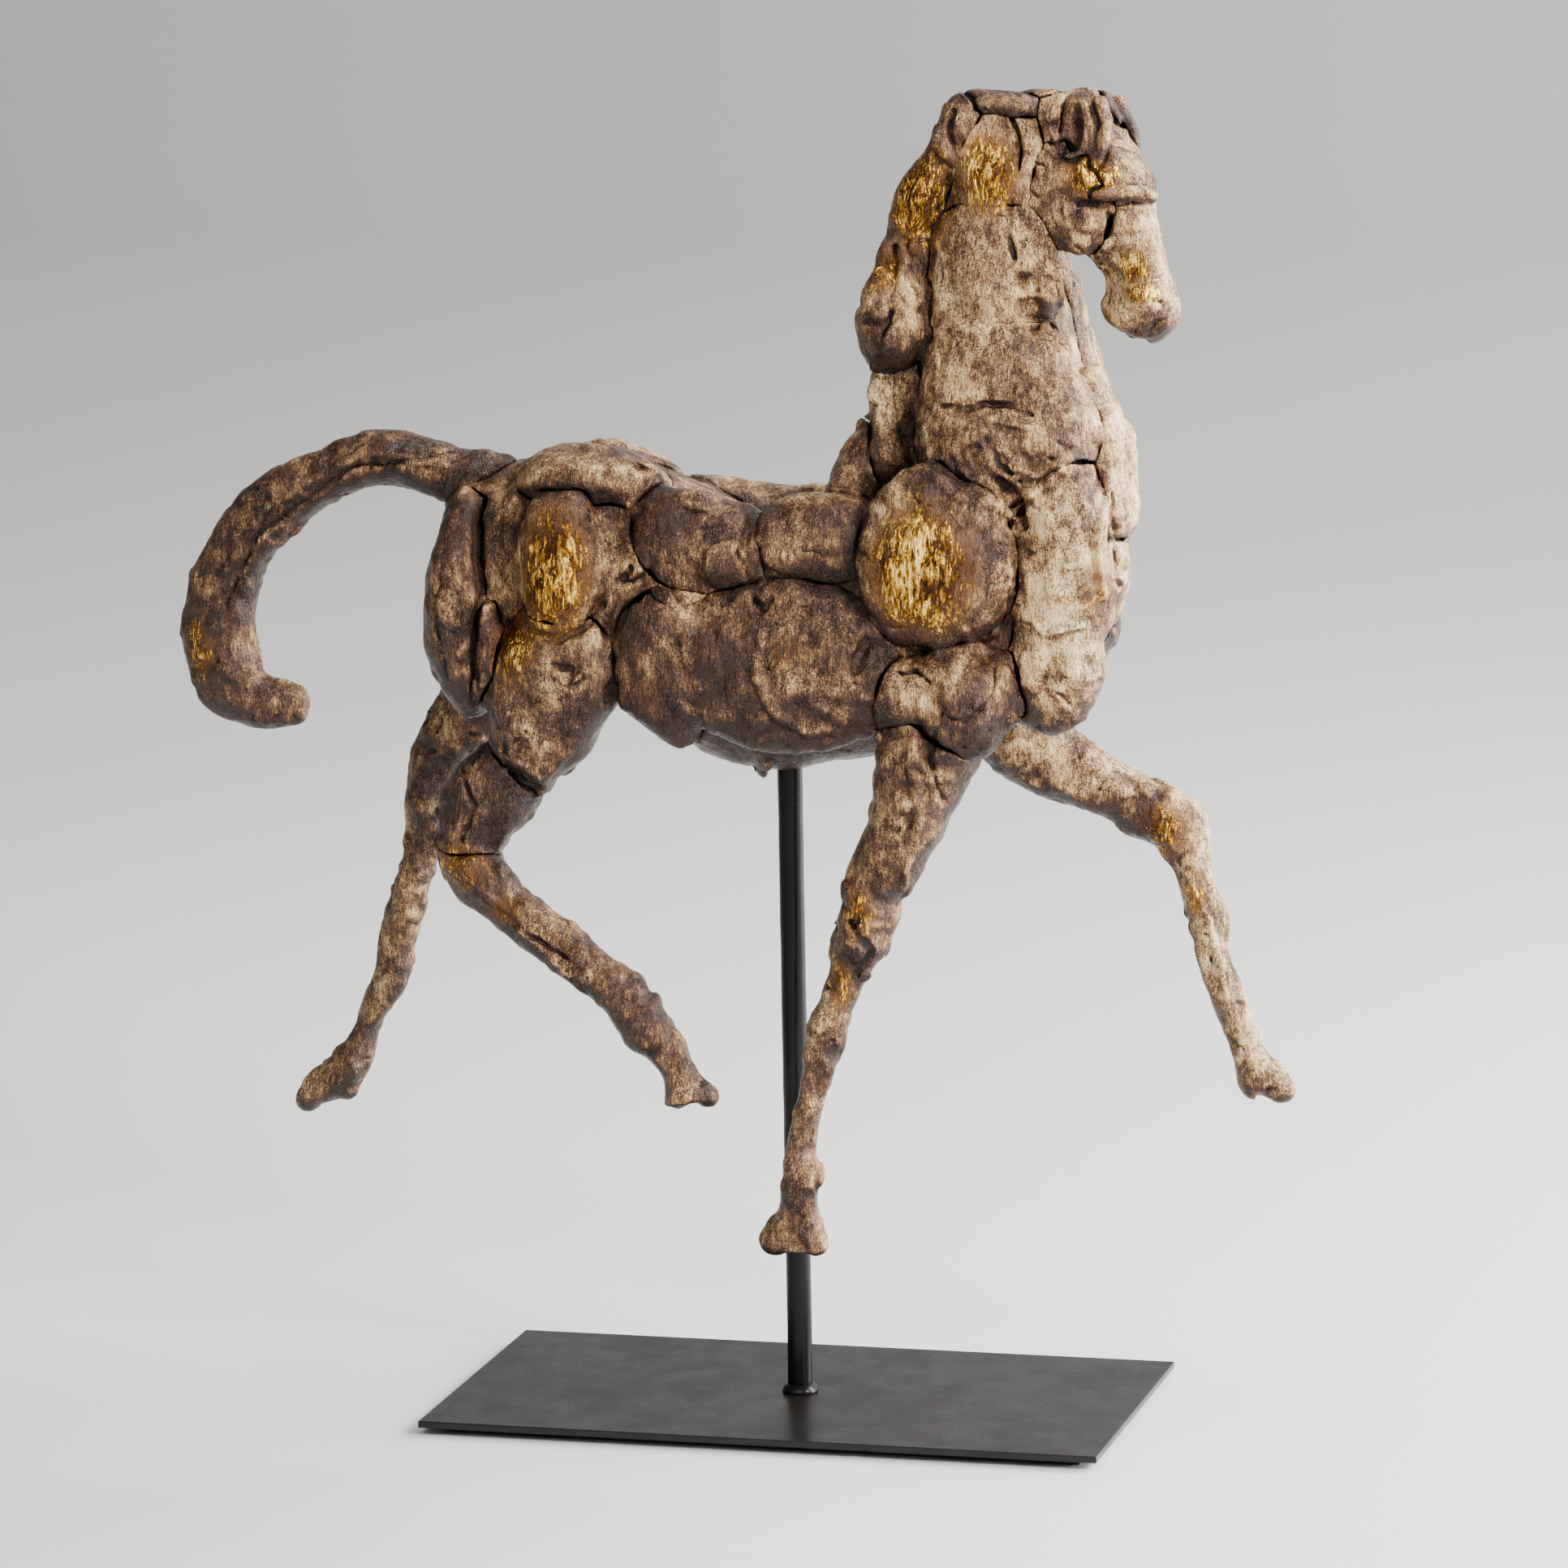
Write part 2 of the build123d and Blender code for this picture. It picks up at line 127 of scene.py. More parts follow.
def smoothstep(low, high, value):
    t = np.clip((value - low) / (high - low), 0.0, 1.0)
    return t * t * (3.0 - 2.0 * t)


def noise(points, size, seed):
    """Smooth random values from -1 to 1 in bumps about size metres across."""
    table = np.random.default_rng(seed).uniform(-1.0, 1.0, 4096)
    cell = np.floor(points / size).astype(np.int64)
    part = points / size - cell
    part = part * part * (3.0 - 2.0 * part)
    total = np.zeros(len(points))
    for corner in itertools.product((0, 1), repeat=3):
        key = cell + corner
        index = (key[:, 0] * 73856093 ^ key[:, 1] * 19349663 ^ key[:, 2] * 83492791) % len(table)
        weight = np.prod(np.where(corner, part, 1.0 - part), axis=1)
        total += weight * table[index]
    return total


# ======== voxel blocks

class Block:
    """Signed distances on a box of voxels; start is the index of its first voxel."""

    def __init__(self, start, field):
        self.start = np.array(start)
        self.field = field

    @property
    def end(self):
        return self.start + self.field.shape

    def shared(self, other):
        """Slices of this block and of the other where they overlap, or None."""
        low = np.maximum(self.start, other.start)
        high = np.minimum(self.end, other.end)
        if np.any(high <= low):
            return None
        mine = tuple(slice(a, b) for a, b in zip(low - self.start, high - self.start))
        theirs = tuple(slice(a, b) for a, b in zip(low - other.start, high - other.start))
        return mine, theirs

    def at(self, points, voxel=VOXEL):
        """Values at the points, mixed from the eight nearest voxels."""
        place = np.clip(points / voxel - self.start, 0, np.array(self.field.shape) - 1.001)
        cell = place.astype(np.int64)
        part = place - cell
        total = np.zeros(len(points))
        for corner in itertools.product((0, 1), repeat=3):
            key = cell + corner
            weight = np.prod(np.where(corner, part, 1.0 - part), axis=1)
            total += weight * self.field[key[:, 0], key[:, 1], key[:, 2]]
        return total


def mesh_arrays(obj):
    """Vertices and triangles of an object as arrays."""
    mesh = obj.data
    mesh.calc_loop_triangles()
    points = np.empty(len(mesh.vertices) * 3, np.float32)
    mesh.vertices.foreach_get("co", points)
    corners = np.empty(len(mesh.loop_triangles) * 3, np.int32)
    mesh.loop_triangles.foreach_get("vertices", corners)
    return points.reshape(-1, 3), corners.reshape(-1, 3).astype(np.uint32)


def distance_block(points, triangles, voxel=VOXEL, reach=REACH):
    transform = openvdb.createLinearTransform(voxelSize=voxel)
    grid = openvdb.FloatGrid.createLevelSetFromPolygons(
        points, triangles=triangles, transform=transform, halfWidth=reach / voxel)
    low, high = grid.evalActiveVoxelBoundingBox()
    start = [int(n) - 1 for n in low]
    field = np.empty([int(h) - s + 2 for h, s in zip(high, start)], np.float32)
    grid.copyToArray(field, ijk=tuple(start))
    return Block(start, field)


def blurred(field, times):
    """Field averaged with its neighbours along each axis, several times."""
    field = field.copy()
    for _ in range(times):
        for axis in range(3):
            moved = np.moveaxis(field, axis, 0)
            moved[1:-1] = 0.25 * moved[:-2] + 0.5 * moved[1:-1] + 0.25 * moved[2:]
    return field


def surface_of(block):
    """Points and quads of the block's zero surface."""
    grid = openvdb.FloatGrid(float(REACH))
    known = np.minimum(block.field, np.float32(REACH))
    grid.copyFromArray(known, ijk=tuple(int(n) for n in block.start))
    grid.transform = openvdb.createLinearTransform(voxelSize=VOXEL)
    points, quads = grid.convertToQuads(0.0)
    return np.asarray(points, float), np.asarray(quads, np.int64)


# ======== meshes in arrays

def edges_of(quads):
    pairs = np.concatenate([quads[:, [i, (i + 1) % 4]] for i in range(4)])
    pairs.sort(axis=1)
    keys = np.unique(pairs[:, 0] * (quads.max() + 1) + pairs[:, 1])
    return np.stack([keys // (quads.max() + 1), keys % (quads.max() + 1)], axis=1)


def neighbour_mean(values, edges):
    """For each point, the mean of the values at the points it shares an edge with."""
    count = len(values)
    total = np.empty_like(values)
    for axis in range(values.shape[1]):
        column = values[:, axis]
        total[:, axis] = (np.bincount(edges[:, 0], column[edges[:, 1]], count)
                          + np.bincount(edges[:, 1], column[edges[:, 0]], count))
    return total / np.maximum(np.bincount(edges.ravel(), minlength=count), 1)[:, None]


def face_vectors(points, quads):
    return np.cross(points[quads[:, 2]] - points[quads[:, 0]], points[quads[:, 3]] - points[quads[:, 1]])


def normals_of(points, quads):
    faces = face_vectors(points, quads)
    total = np.zeros_like(points)
    for corner in range(4):
        for axis in range(3):
            total[:, axis] += np.bincount(quads[:, corner], faces[:, axis], len(points))
    return total / np.maximum(np.linalg.norm(total, axis=1), 1e-12)[:, None]


def link(obj):
    bpy.context.scene.collection.objects.link(obj)
    return obj


def mesh_object(name, points, quads):
    mesh = bpy.data.meshes.new(name)
    mesh.vertices.add(len(points))
    mesh.vertices.foreach_set("co", points.astype(np.float32).ravel())
    mesh.loops.add(quads.size)
    mesh.loops.foreach_set("vertex_index", quads.astype(np.int32).ravel())
    mesh.polygons.add(len(quads))
    mesh.polygons.foreach_set("loop_start", np.arange(0, quads.size, 4, dtype=np.int32))
    mesh.update(calc_edges=True)
    mesh.polygons.foreach_set("use_smooth", np.ones(len(quads), bool))
    mesh.validate()
    return link(bpy.data.objects.new(name, mesh))


# ======== the slabs of the horse

class Slab:
    """One piece of the horse, first as distances on voxels and then as a mesh."""

    def __init__(self, node, block, others, apart, skin):
        self.node = node
        low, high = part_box(node)
        self.low = np.array(low)
        self.size = np.array(high) - self.low
        self.own = block
        self.others = Block(block.start, others)
        self.apart = Block(block.start, apart)
        self.skin = Block(block.start, skin)

    def on_skin(self, u, v, side):
        """The point of the skin at the given shares of the piece's length and height."""
        x, z = self.low[0] + u * self.size[0], self.low[2] + v * self.size[2]
        index = np.round(np.array((x, 0, z)) / VOXEL).astype(int) - self.skin.start
        index = np.clip(index, 0, np.array(self.skin.field.shape) - 1)
        inside = np.flatnonzero(self.skin.field[index[0], :, index[2]] < 0)
        if not len(inside):
            return None
        row = inside[0] if side == NEAR else inside[-1]
        return np.array((x, (self.skin.start[1] + row) * VOXEL, z))

    def carve(self):
        """Turns the distances into a mesh."""
        start = self.own.start
        axes = [(start[i] + np.arange(self.own.field.shape[i])) * VOXEL for i in range(3)]
        x, y, z = axes[0][:, None, None], axes[1][None, :, None], axes[2][None, None, :]
        gap = (GAP + GAP_SWING * swing(x, y, z)).astype(np.float32)
        between = (self.own.field - self.apart.field) / 2 + gap
        between = np.maximum(between, (self.own.field - self.others.field) / 2 - LAP)
        self.points, self.quads = surface_of(Block(start, np.maximum(self.skin.field, between)))
        volume = np.sum(face_vectors(self.points, self.quads) * self.points[self.quads[:, 0]])
        if volume < 0:
            self.quads = self.quads[:, ::-1]
        self.edges = edges_of(self.quads)
        self.relax()
        self.seam = self.apart.at(self.points)
        self.fused = 1.0 - smoothstep(0.0, 8 * MM, self.others.at(self.points))
        self.fused *= smoothstep(0.0, 2 * MM, self.seam)
        depth = -self.skin.at(self.points)
        self.outside = 1.0 - smoothstep(0.8 * MM, 2.5 * MM, depth)
        self.gold = np.zeros(len(self.points))
        self.tone = np.full(len(self.points), TONE.get(self.node, 0.0))

    def relax(self):
        self.points = 0.5 * (self.points + neighbour_mean(self.points, self.edges))
        self.normals = normals_of(self.points, self.quads)

    def push(self, heights):
        """Moves each point of the outer skin along its normal."""
        self.points = self.points + self.normals * (heights * self.outside)[:, None]
        self.normals = normals_of(self.points, self.quads)

    def cavity(self):
        """Height in mm over the surface smoothed some 4 mm around: negative in hollows."""
        smooth = self.points
        for _ in range(10):
            smooth = 0.5 * (smooth + neighbour_mean(smooth, self.edges))
        return np.einsum("ij,ij->i", self.points - smooth, self.normals) / MM

    def bend(self):
        """Positive on rims and bumps, negative in creases, in metres."""
        away = self.points - neighbour_mean(self.points, self.edges)
        flat = np.einsum("ij,ij->i", away, self.normals)[:, None]
        for _ in range(2):
            flat = 0.5 * (flat + neighbour_mean(flat, self.edges))
        return flat[:, 0]


def wavered(points):
    """The points moved a little, the same way for all pieces, so no outline stays regular."""
    shift = [1.7 * noise(points, 15 * MM, seed) + 0.8 * noise(points, 7 * MM, seed + 1)
             for seed in (31, 33, 35)]
    amount = WAVER * (1 - 0.6 * smoothstep(HEAD_FOOT, HEAD_FOOT + 50 * MM, points[:, 2]))
    return (points + amount[:, None] * np.stack(shift, axis=1)).astype(np.float32)


def build_slabs():
    """Each piece with distances to itself, its neighbours, those not fused with it, and the skin."""
    blocks = {n: distance_block(*mesh_arrays(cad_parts[n])) for n in HIDDEN + ["post"]}
    for node in HORSE:
        points, triangles = mesh_arrays(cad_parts[node])
        blocks[node] = distance_block(wavered(points), triangles)
    slabs = {}
    for node in HORSE:
        block = blocks[node]
        others = np.full(block.field.shape, REACH, np.float32)
        apart = others.copy()
        total = np.exp(-block.field / FILL)
        for name, other in blocks.items():
            overlap = None if name == node else block.shared(other)
            if overlap:
                mine, theirs = overlap
                others[mine] = np.minimum(others[mine], other.field[theirs])
                if {node, name} not in FUSED:
                    apart[mine] = np.minimum(apart[mine], other.field[theirs])
                if name in HORSE:
                    total[mine] += np.exp(-other.field[theirs] / FILL)
        slabs[node] = Slab(node, block, others, apart, INSET - FILL * np.log(total))
    return slabs


# ======== sculpting on voxels

STROKE_STEP = 3 * MM         # from point to point along a stroke
STROKE_SHAKE = 0.35 * MM     # how unsteady the tool is
STROKE_JUMP = 4 * MM         # a stroke skips a point that lies deeper than this past the last
STROKE_DEPTH = 14 * MM       # a stroke that would dip further than this isn't made
DAB_SPACING = 15             # in mm, between middles
DAB_LONG = (6, 13)           # half length in mm
DAB_PROUD = 0.75 * MM        # how far a dab stands out at most, before chance
DAB_DEEP = 0.32              # half thickness for its half length
CRACK_SPACING = 26           # in mm
CRACK_STEP = (1.5, 3.5)      # in mm, from bend to bend
CRACK_RADIUS = (0.35, 0.8)   # in mm


def soft_min(a, b, soft):
    blend = np.clip(0.5 + 0.5 * (b - a) / soft, 0, 1)
    return b + (a - b) * blend - soft * blend * (1 - blend)


def sculpt(low, high, shape, soft, cut=False, owner=None):
    """Adds clay where shape(x, y, z) is negative, to one piece if it has an owner, or cuts it away."""
    for slab in slabs.values():
        skin = slab.skin
        first = np.maximum(np.floor(low / VOXEL).astype(int) - 2, skin.start)
        last = np.minimum(np.ceil(high / VOXEL).astype(int) + 3, skin.end)
        if np.any(last <= first):
            continue
        place = tuple(slice(a, b) for a, b in zip(first - skin.start, last - skin.start))
        x, y, z = [np.arange(a, b) * VOXEL for a, b in zip(first, last)]
        distance = shape(x[:, None, None], y[None, :, None], z[None, None, :]).astype(np.float32)
        if owner == slab.node:
            slab.own.field[place] = np.minimum(slab.own.field[place], distance)
        elif owner:
            slab.others.field[place] = np.minimum(slab.others.field[place], distance)
            slab.apart.field[place] = np.minimum(slab.apart.field[place], distance)
        if cut:
            skin.field[place] = -soft_min(-skin.field[place], distance, soft)
        else:
            skin.field[place] = soft_min(skin.field[place], distance, soft)


def roll(points, radii, cut=False, owner=None):
    """A roll of clay, or a groove, along a line of points."""
    points = np.array(points)
    radii = np.array(radii)

    def shape(x, y, z):
        best = np.float32(1.0)
        for a, b, ra, rb in zip(points[:-1], points[1:], radii[:-1], radii[1:]):
            way = b - a
            share = (x - a[0]) * way[0] + (y - a[1]) * way[1] + (z - a[2]) * way[2]
            share = np.clip(share / max(way @ way, 1e-12), 0, 1)
            off = np.sqrt((x - a[0] - share * way[0]) ** 2 + (y - a[1] - share * way[1]) ** 2
                          + (z - a[2] - share * way[2]) ** 2)
            best = np.minimum(best, off - ra - share * (rb - ra))
        return best

    room = radii.max() * 2.0
    sculpt(points.min(axis=0) - room, points.max(axis=0) + room, shape, 0.6 * radii.max(), cut, owner)


def dab(middle, normal, along, long, wide, thick):
    """A pressed dab of clay: a flat round on the skin."""
    across = np.cross(normal, along)
    across /= np.linalg.norm(across)
    along = np.cross(across, normal)

    def shape(x, y, z):
        dx, dy, dz = x - middle[0], y - middle[1], z - middle[2]
        a = (dx * along[0] + dy * along[1] + dz * along[2]) / long
        b = (dx * across[0] + dy * across[1] + dz * across[2]) / wide
        c = (dx * normal[0] + dy * normal[1] + dz * normal[2]) / thick
        return (np.sqrt(a * a + b * b + c * c) - 1) * thick

    sculpt(middle - long, middle + long, shape, 0.35 * MM)


def stroke(node, side, line, width, rng, cut=False):
    """A ridge or a crease on one side of a piece; line holds hundredths of its length and height."""
    slab = slabs[node]
    line = np.array(line) / 100
    lengths = np.linalg.norm(np.diff(line * (slab.size[0], slab.size[2]), axis=0), axis=1)
    points = []
    for a, b, length in zip(line[:-1], line[1:], lengths):
        steps = max(int(length / STROKE_STEP), 1)
        points += [a + (b - a) * i / steps for i in range(steps)]
    points.append(line[-1])
    points = [slab.on_skin(u, v, side) for u, v in points]
    points = [p + rng.normal(0, STROKE_SHAKE, 3) for p in points if p is not None]
    points = [p for i, p in enumerate(points)
              if i == 0 or abs(p[1] - points[i - 1][1]) < STROKE_JUMP]
    if len(points) < 2 or np.ptp([p[1] for p in points]) > STROKE_DEPTH:
        return
    share = np.linspace(0, 1, len(points))
    taper = 0.45 + 0.55 * np.sin(np.pi * np.clip(share, 0.12, 0.88))
    roll(points, width * MM / 2 * taper * rng.uniform(0.85, 1.15, len(points)), cut)


def plug(node, line, width, cut=False):
    """A roll of clay through a piece; line holds hundredths of its length, depth and height."""
    low, high = map(np.array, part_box(node))
    points = [low + np.array(p) / 100 * (high - low) for p in line]
    roll(points, [width * MM / 2] * len(line), cut, None if cut else node)


def skin_places(slab):
    """Voxels of the piece's own outer skin."""
    close = np.abs(slab.skin.field) < 0.5 * VOXEL
    close &= slab.own.field < slab.others.field
    return np.argwhere(close)


def slope(field, place):
    """Direction in which the field rises at a voxel, or None on the edge of the block."""
    if np.any(place < 2) or np.any(place > np.array(field.shape) - 3):
        return None
    i, j, k = place
    way = np.array((field[i + 2, j, k] - field[i - 2, j, k], field[i, j + 2, k] - field[i, j - 2, k],
                    field[i, j, k + 2] - field[i, j, k - 2]), float)
    size = np.linalg.norm(way)
    return way / size if size > 1e-9 else None


def handwork(slab, rng):
    """Pressed dabs all over a piece, then short crooked cracks."""
    small = 1.0 if slab.size.max() > 45 * MM else 0.6
    if slab.node in LIMBS + SMOOTH:
        small = 0.45
    elif slab.low[2] > HEAD_FOOT:
        small = 0.35
    places = skin_places(slab)
    if not len(places):
        return
    area = len(places) * VOXEL ** 2
    dabs, cracks = [int(area / (small * spacing * MM) ** 2) for spacing in (DAB_SPACING, CRACK_SPACING)]
    for place in places[rng.integers(len(places), size=dabs)]:
        normal = slope(slab.skin.field, place)
        if normal is None or normal[2] < -0.75:
            continue
        long = small * rng.uniform(*DAB_LONG) * MM
        point = (slab.skin.start + place) * VOXEL
        along = np.cross(normal, rng.normal(0, 1, 3))
        along /= np.linalg.norm(along)
        across = np.cross(normal, along)
        around = point + 0.8 * long * np.array((along, -along, across, -across))
        if slab.skin.at(around).max() > 0.22 * long:
            continue
        thick = DAB_DEEP * long
        tilted = normal + rng.normal(0, 0.06, 3)
        proud = min(0.08 * long, DAB_PROUD) * rng.uniform(0.6, 1.4)
        wide = long * rng.uniform(0.5, 0.9)
        dab(point + normal * (proud - thick), tilted / np.linalg.norm(tilted), along, long, wide, thick)
    for place in places[rng.integers(len(places), size=cracks)]:
        normal = slope(slab.skin.field, place)
        if normal is None:
            continue
        point = (slab.skin.start + place) * VOXEL
        way = np.cross(normal, rng.normal(0, 1, 3))
        way /= np.linalg.norm(way)
        line = [point]
        for _ in range(int(rng.integers(2, 6))):
            way = way + 0.5 * np.cross(normal, rng.normal(0, 1, 3))
            way /= np.linalg.norm(way)
            line.append(line[-1] + way * small * rng.uniform(*CRACK_STEP) * MM)
        radius = rng.uniform(*CRACK_RADIUS) * MM
        roll(line, radius * np.append(rng.uniform(0.7, 1.1, len(line) - 1), 0.3), cut=True)


# ---- rolls of clay that join locks and shape the hooves: piece, line, width in mm; ----
# ---- lines are in hundredths of the piece's box                                      ----
PLUGS = [
    ("mane_strand", [(120, 50, -10), (115, 50, 50), (110, 50, 115)], 9),
    ("mane_strand", [(85, 50, 30), (80, 50, 100)], 8),
    ("mane_teardrop", [(105, 50, 5), (110, 50, 60)], 8),
    ("mane_teardrop", [(74, 50, 90), (74, 50, 108)], 7),
    ("near_fore_cannon", [(16, 50, 10), (2, 50, 3.5)], 12),
    ("near_fore_cannon", [(22, 50, 7), (34, 50, 3)], 10),
    ("near_fore_cannon", [(78, 30, 96), (72, 20, 86)], 13),
    ("near_fore_cannon", [(28, 40, 22), (22, 40, 17)], 13),
    ("near_hind_cannon", [(88, 50, 14), (87, 50, 4)], 8),
    ("near_hind_cannon", [(90, 50, 12), (98, 50, 5)], 8),
    ("near_hind_cannon", [(10, 40, 96), (20, 30, 86)], 15),
    ("near_hind_cannon", [(70, 50, 36), (76, 40, 28)], 12),
    ("far_hind_cannon", [(5, 50, 2), (14, 50, 8)], 9),
    ("far_hind_cannon", [(24, 40, 13), (30, 50, 6)], 8),
    ("far_fore_cannon", [(74, 50, 10), (95, 50, 5)], 11),
    ("far_fore_cannon", [(12, 40, 94), (22, 40, 86)], 14),
    ("near_fore_arm", [(90, 10, 96), (98, 20, 86)], 7),
    ("near_ear", [(66, 0, 46), (54, 0, 74), (24, 0, 86), (-8, 0, 74), (-18, 0, 46), (-6, 0, 18),
        (24, 0, 6), (54, 0, 18), (66, 0, 46)], 3.8),
    ("near_ear", [(90, 30, 80), (108, 20, 52), (98, 10, 20), (84, 10, -4)], 4.6),
    ("far_ear", [(50, 20, 82), (95, 0, 52), (98, -20, 16), (90, -40, -20)], 4.6),
    ("far_ear", [(95, 40, 74), (130, 30, 40), (150, 20, -5)], 4.6),
    ("brow_slab", [(-12, 20, 14), (30, 0, 12), (70, 10, 14), (95, 30, 8)], 4.6),
    ("neck_core", [(56, 50, 98), (86, 50, 100)], 14),
]

# ---- what is scooped out again: the hollow of the ear and the groin behind the flank ----
SCOOPS = [
    ("near_ear", [(24, -26, 66), (24, -26, 26)], 9.5),
    ("flank_slab", [(10, -30, 0), (10, 390, 0)], 22),
    ("flank_slab", [(36, -30, -8), (36, 390, -8)], 18),
]
CROWN = 481.3 * MM           # the top of the head is trimmed to this height
CROWN_ROUND = 34 * MM        # how it rounds off to both sides
CROWN_SOFT = 2.0 * MM
CROWN_ROOM = np.array((50, -36, 470)) * MM, np.array((150, 36, 500)) * MM
RIDGE_FULLER = 1.15          # strokes come out finer than drawn, as their ends taper
CREASE_WIDER = 1.25

# ---- strokes on the near and the far side, in the same form ----
NEAR_RIDGES = [
    ("belly_slab", [(44, 80), (40, 60), (42, 42), (50, 25), (62, 16), (74, 17)], 3.6),
    ("flank_slab", [(62, 100), (84, 85), (92, 60), (102, 42)], 2.8),
    ("elbow_slab", [(36, 84), (52, 97), (68, 99), (82, 90), (92, 72), (95, 50), (90, 28),
        (78, 12)], 3.2),
    ("neck_base_slab", [(8, 42), (14, 22), (26, 10), (42, 5), (58, 6), (72, 12), (84, 24)], 3.6),
    ("neck_base_slab", [(52, 36), (60, 24), (72, 20), (84, 30)], 3),
    ("neck_base_slab", [(20, 50), (36, 47), (52, 50), (66, 46)], 2.4),
    ("brow_slab", [(-5, 14), (25, 16), (55, 22), (85, 24), (100, 10)], 3.2),
    ("mane_upper_lock", [(25, 95), (5, 60), (15, 20), (45, 2), (80, 20), (90, 65)], 3.2),
    ("mane_teardrop", [(70, 98), (80, 60), (88, 30)], 3.4),
    ("mane_teardrop", [(50, 95), (36, 60), (22, 35)], 3.4),
    ("mane_gold_lock", [(80, 95), (55, 55), (35, 20)], 2.6),
    ("croup_slab", [(-4, 20), (10, 30), (24, 12), (40, 26), (55, 6), (72, 14), (90, 4)], 3),
    ("croup_slab", [(20, 62), (45, 72), (70, 66), (92, 70)], 2.4),
    ("haunch_slab", [(2, 30), (16, 8), (45, 0), (78, 6), (95, 26)], 3),
    ("thigh_slab", [(60, 66), (70, 60), (82, 66), (78, 76)], 2.6),
    ("thigh_slab", [(20, 42), (26, 18), (45, 8), (66, 22)], 2.8),
    ("loin_rear_slab", [(86, 95), (95, 68), (92, 40), (100, 15)], 3),
    ("buttock_slab", [(70, 92), (82, 60), (74, 30), (80, 5)], 3),
    ("shoulder_slab", [(66, 100), (80, 86), (96, 70), (102, 45)], 3.2),
    ("breast_slab", [(96, 90), (90, 50), (98, 10)], 3.2),
    ("lower_breast_slab", [(20, 98), (50, 84), (88, 90)], 3),
    ("withers_lock", [(30, 90), (18, 50), (30, 10)], 3),
    ("muzzle", [(20, 95), (50, 80), (85, 90)], 2.8),
    ("near_fore_arm", [(60, 98), (50, 70), (52, 40), (40, 12)], 3),
    ("near_hind_cannon", [(10, 95), (30, 72), (55, 45)], 2.6),
    ("far_fore_cannon", [(15, 92), (45, 60), (60, 30)], 2.6),
    ("tail", [(95, 85), (60, 93), (30, 70), (12, 35)], 2.6),
]
FAR_RIDGES = [
    ("far_belly_slab", [(40, 85), (52, 50), (40, 20)], 3.4),
    ("far_haunch_slab", [(20, 90), (40, 55), (25, 15)], 3.2),
    ("far_neck_slab", [(10, 40), (45, 30), (80, 45)], 3.2),
    ("far_shoulder_slab", [(30, 90), (80, 70), (85, 25)], 3.2),
]
NEAR_CREASES = [
    ("belly_slab", [(38, 74), (35, 55), (38, 36), (48, 17), (60, 8), (78, 8), (95, 14)], 2),
    ("flank_slab", [(10, 70), (18, 92), (40, 100), (62, 94)], 1.8),
    ("elbow_slab", [(84, 82), (85, 62), (78, 46), (66, 36), (56, 40)], 1.5),
    ("elbow_slab", [(36, 34), (40, 14), (42, -5)], 4),
    ("elbow_slab", [(20, 76), (34, 78), (46, 70)], 1.8),
    ("neck_base_slab", [(18, 56), (32, 54), (42, 58), (58, 57), (68, 52)], 2.2),
    ("neck_base_slab", [(44, 40), (50, 26), (62, 16)], 1.8),
    ("neck_slab", [(72, 40), (75, 24), (79, 10)], 7),
    ("neck_slab", [(62, 102), (60, 80), (66, 62)], 2.2),
    ("brow_slab", [(0, -6), (30, -4), (62, 0), (92, -6)], 2.4),
    ("nasal_slab", [(-12, 88), (-4, 68), (-10, 50)], 2.6),
    ("near_ear", [(-14, 45), (-5, 10)], 4),
    ("mane_upper_lock", [(45, 75), (36, 45), (48, 22)], 2.8),
    ("mane_teardrop", [(62, 95), (60, 65), (55, 32)], 2.8),
    ("mane_gold_lock", [(95, 70), (72, 35), (50, 10)], 2),
    ("croup_slab", [(2, 6), (24, -2), (45, 10), (62, -6), (90, -8)], 2.2),
    ("croup_slab", [(80, 80), (92, 62), (106, 54)], 2.4),
    ("haunch_slab", [(10, -1), (42, -8), (80, -3), (102, 16)], 2.6),
    ("haunch_slab", [(130, 36), (150, 44), (162, 52)], 2.4),
    ("thigh_slab", [(102, 62), (94, 50), (100, 40)], 4),
    ("thigh_slab", [(14, 36), (20, 14), (42, 0)], 2),
    ("thigh_slab", [(58, 70), (72, 68), (70, 58)], 1.8),
    ("loin_rear_slab", [(78, 95), (86, 70), (82, 45), (90, 20)], 1.8),
    ("loin_rear_slab", [(95, 2), (102, -6), (108, 4)], 4.2),
    ("buttock_slab", [(90, 86), (98, 58), (90, 34), (98, 10)], 2.4),
    ("buttock_slab", [(45, 70), (35, 45), (50, 20)], 1.6),
    ("shoulder_slab", [(90, 92), (100, 80), (105, 66)], 5),
    ("shoulder_slab", [(66, 2), (82, 4), (92, 12), (96, 26)], 2.4),
    ("shoulder_slab", [(6, 0), (0, -16)], 5),
    ("breast_slab", [(100, 80), (100, 45), (106, 12)], 2.2),
    ("lower_breast_slab", [(55, 40), (68, 30)], 1.6),
    ("muzzle", [(52, 14), (68, 34), (90, 44)], 1.8),
    ("muzzle", [(66, 72), (74, 66)], 2.4),
    ("near_fore_arm", [(72, 92), (62, 72), (66, 52)], 2),
    ("near_fore_cannon", [(70, 92), (84, 84), (70, 76)], 2),
    ("near_hind_gaskin", [(30, 80), (45, 50), (30, 20)], 1.8),
    ("near_hind_cannon", [(16, 84), (36, 66), (50, 58)], 1.8),
    ("tail", [(86, 92), (55, 86), (26, 58), (16, 30)], 1.8),
]
FAR_CREASES = [
    ("far_haunch_slab", [(70, 80), (60, 50), (72, 20)], 2.2),
    ("far_belly_slab", [(30, 75), (42, 45), (30, 15)], 2.2),
    ("far_neck_slab", [(15, 55), (45, 48), (80, 60)], 2.2),
]


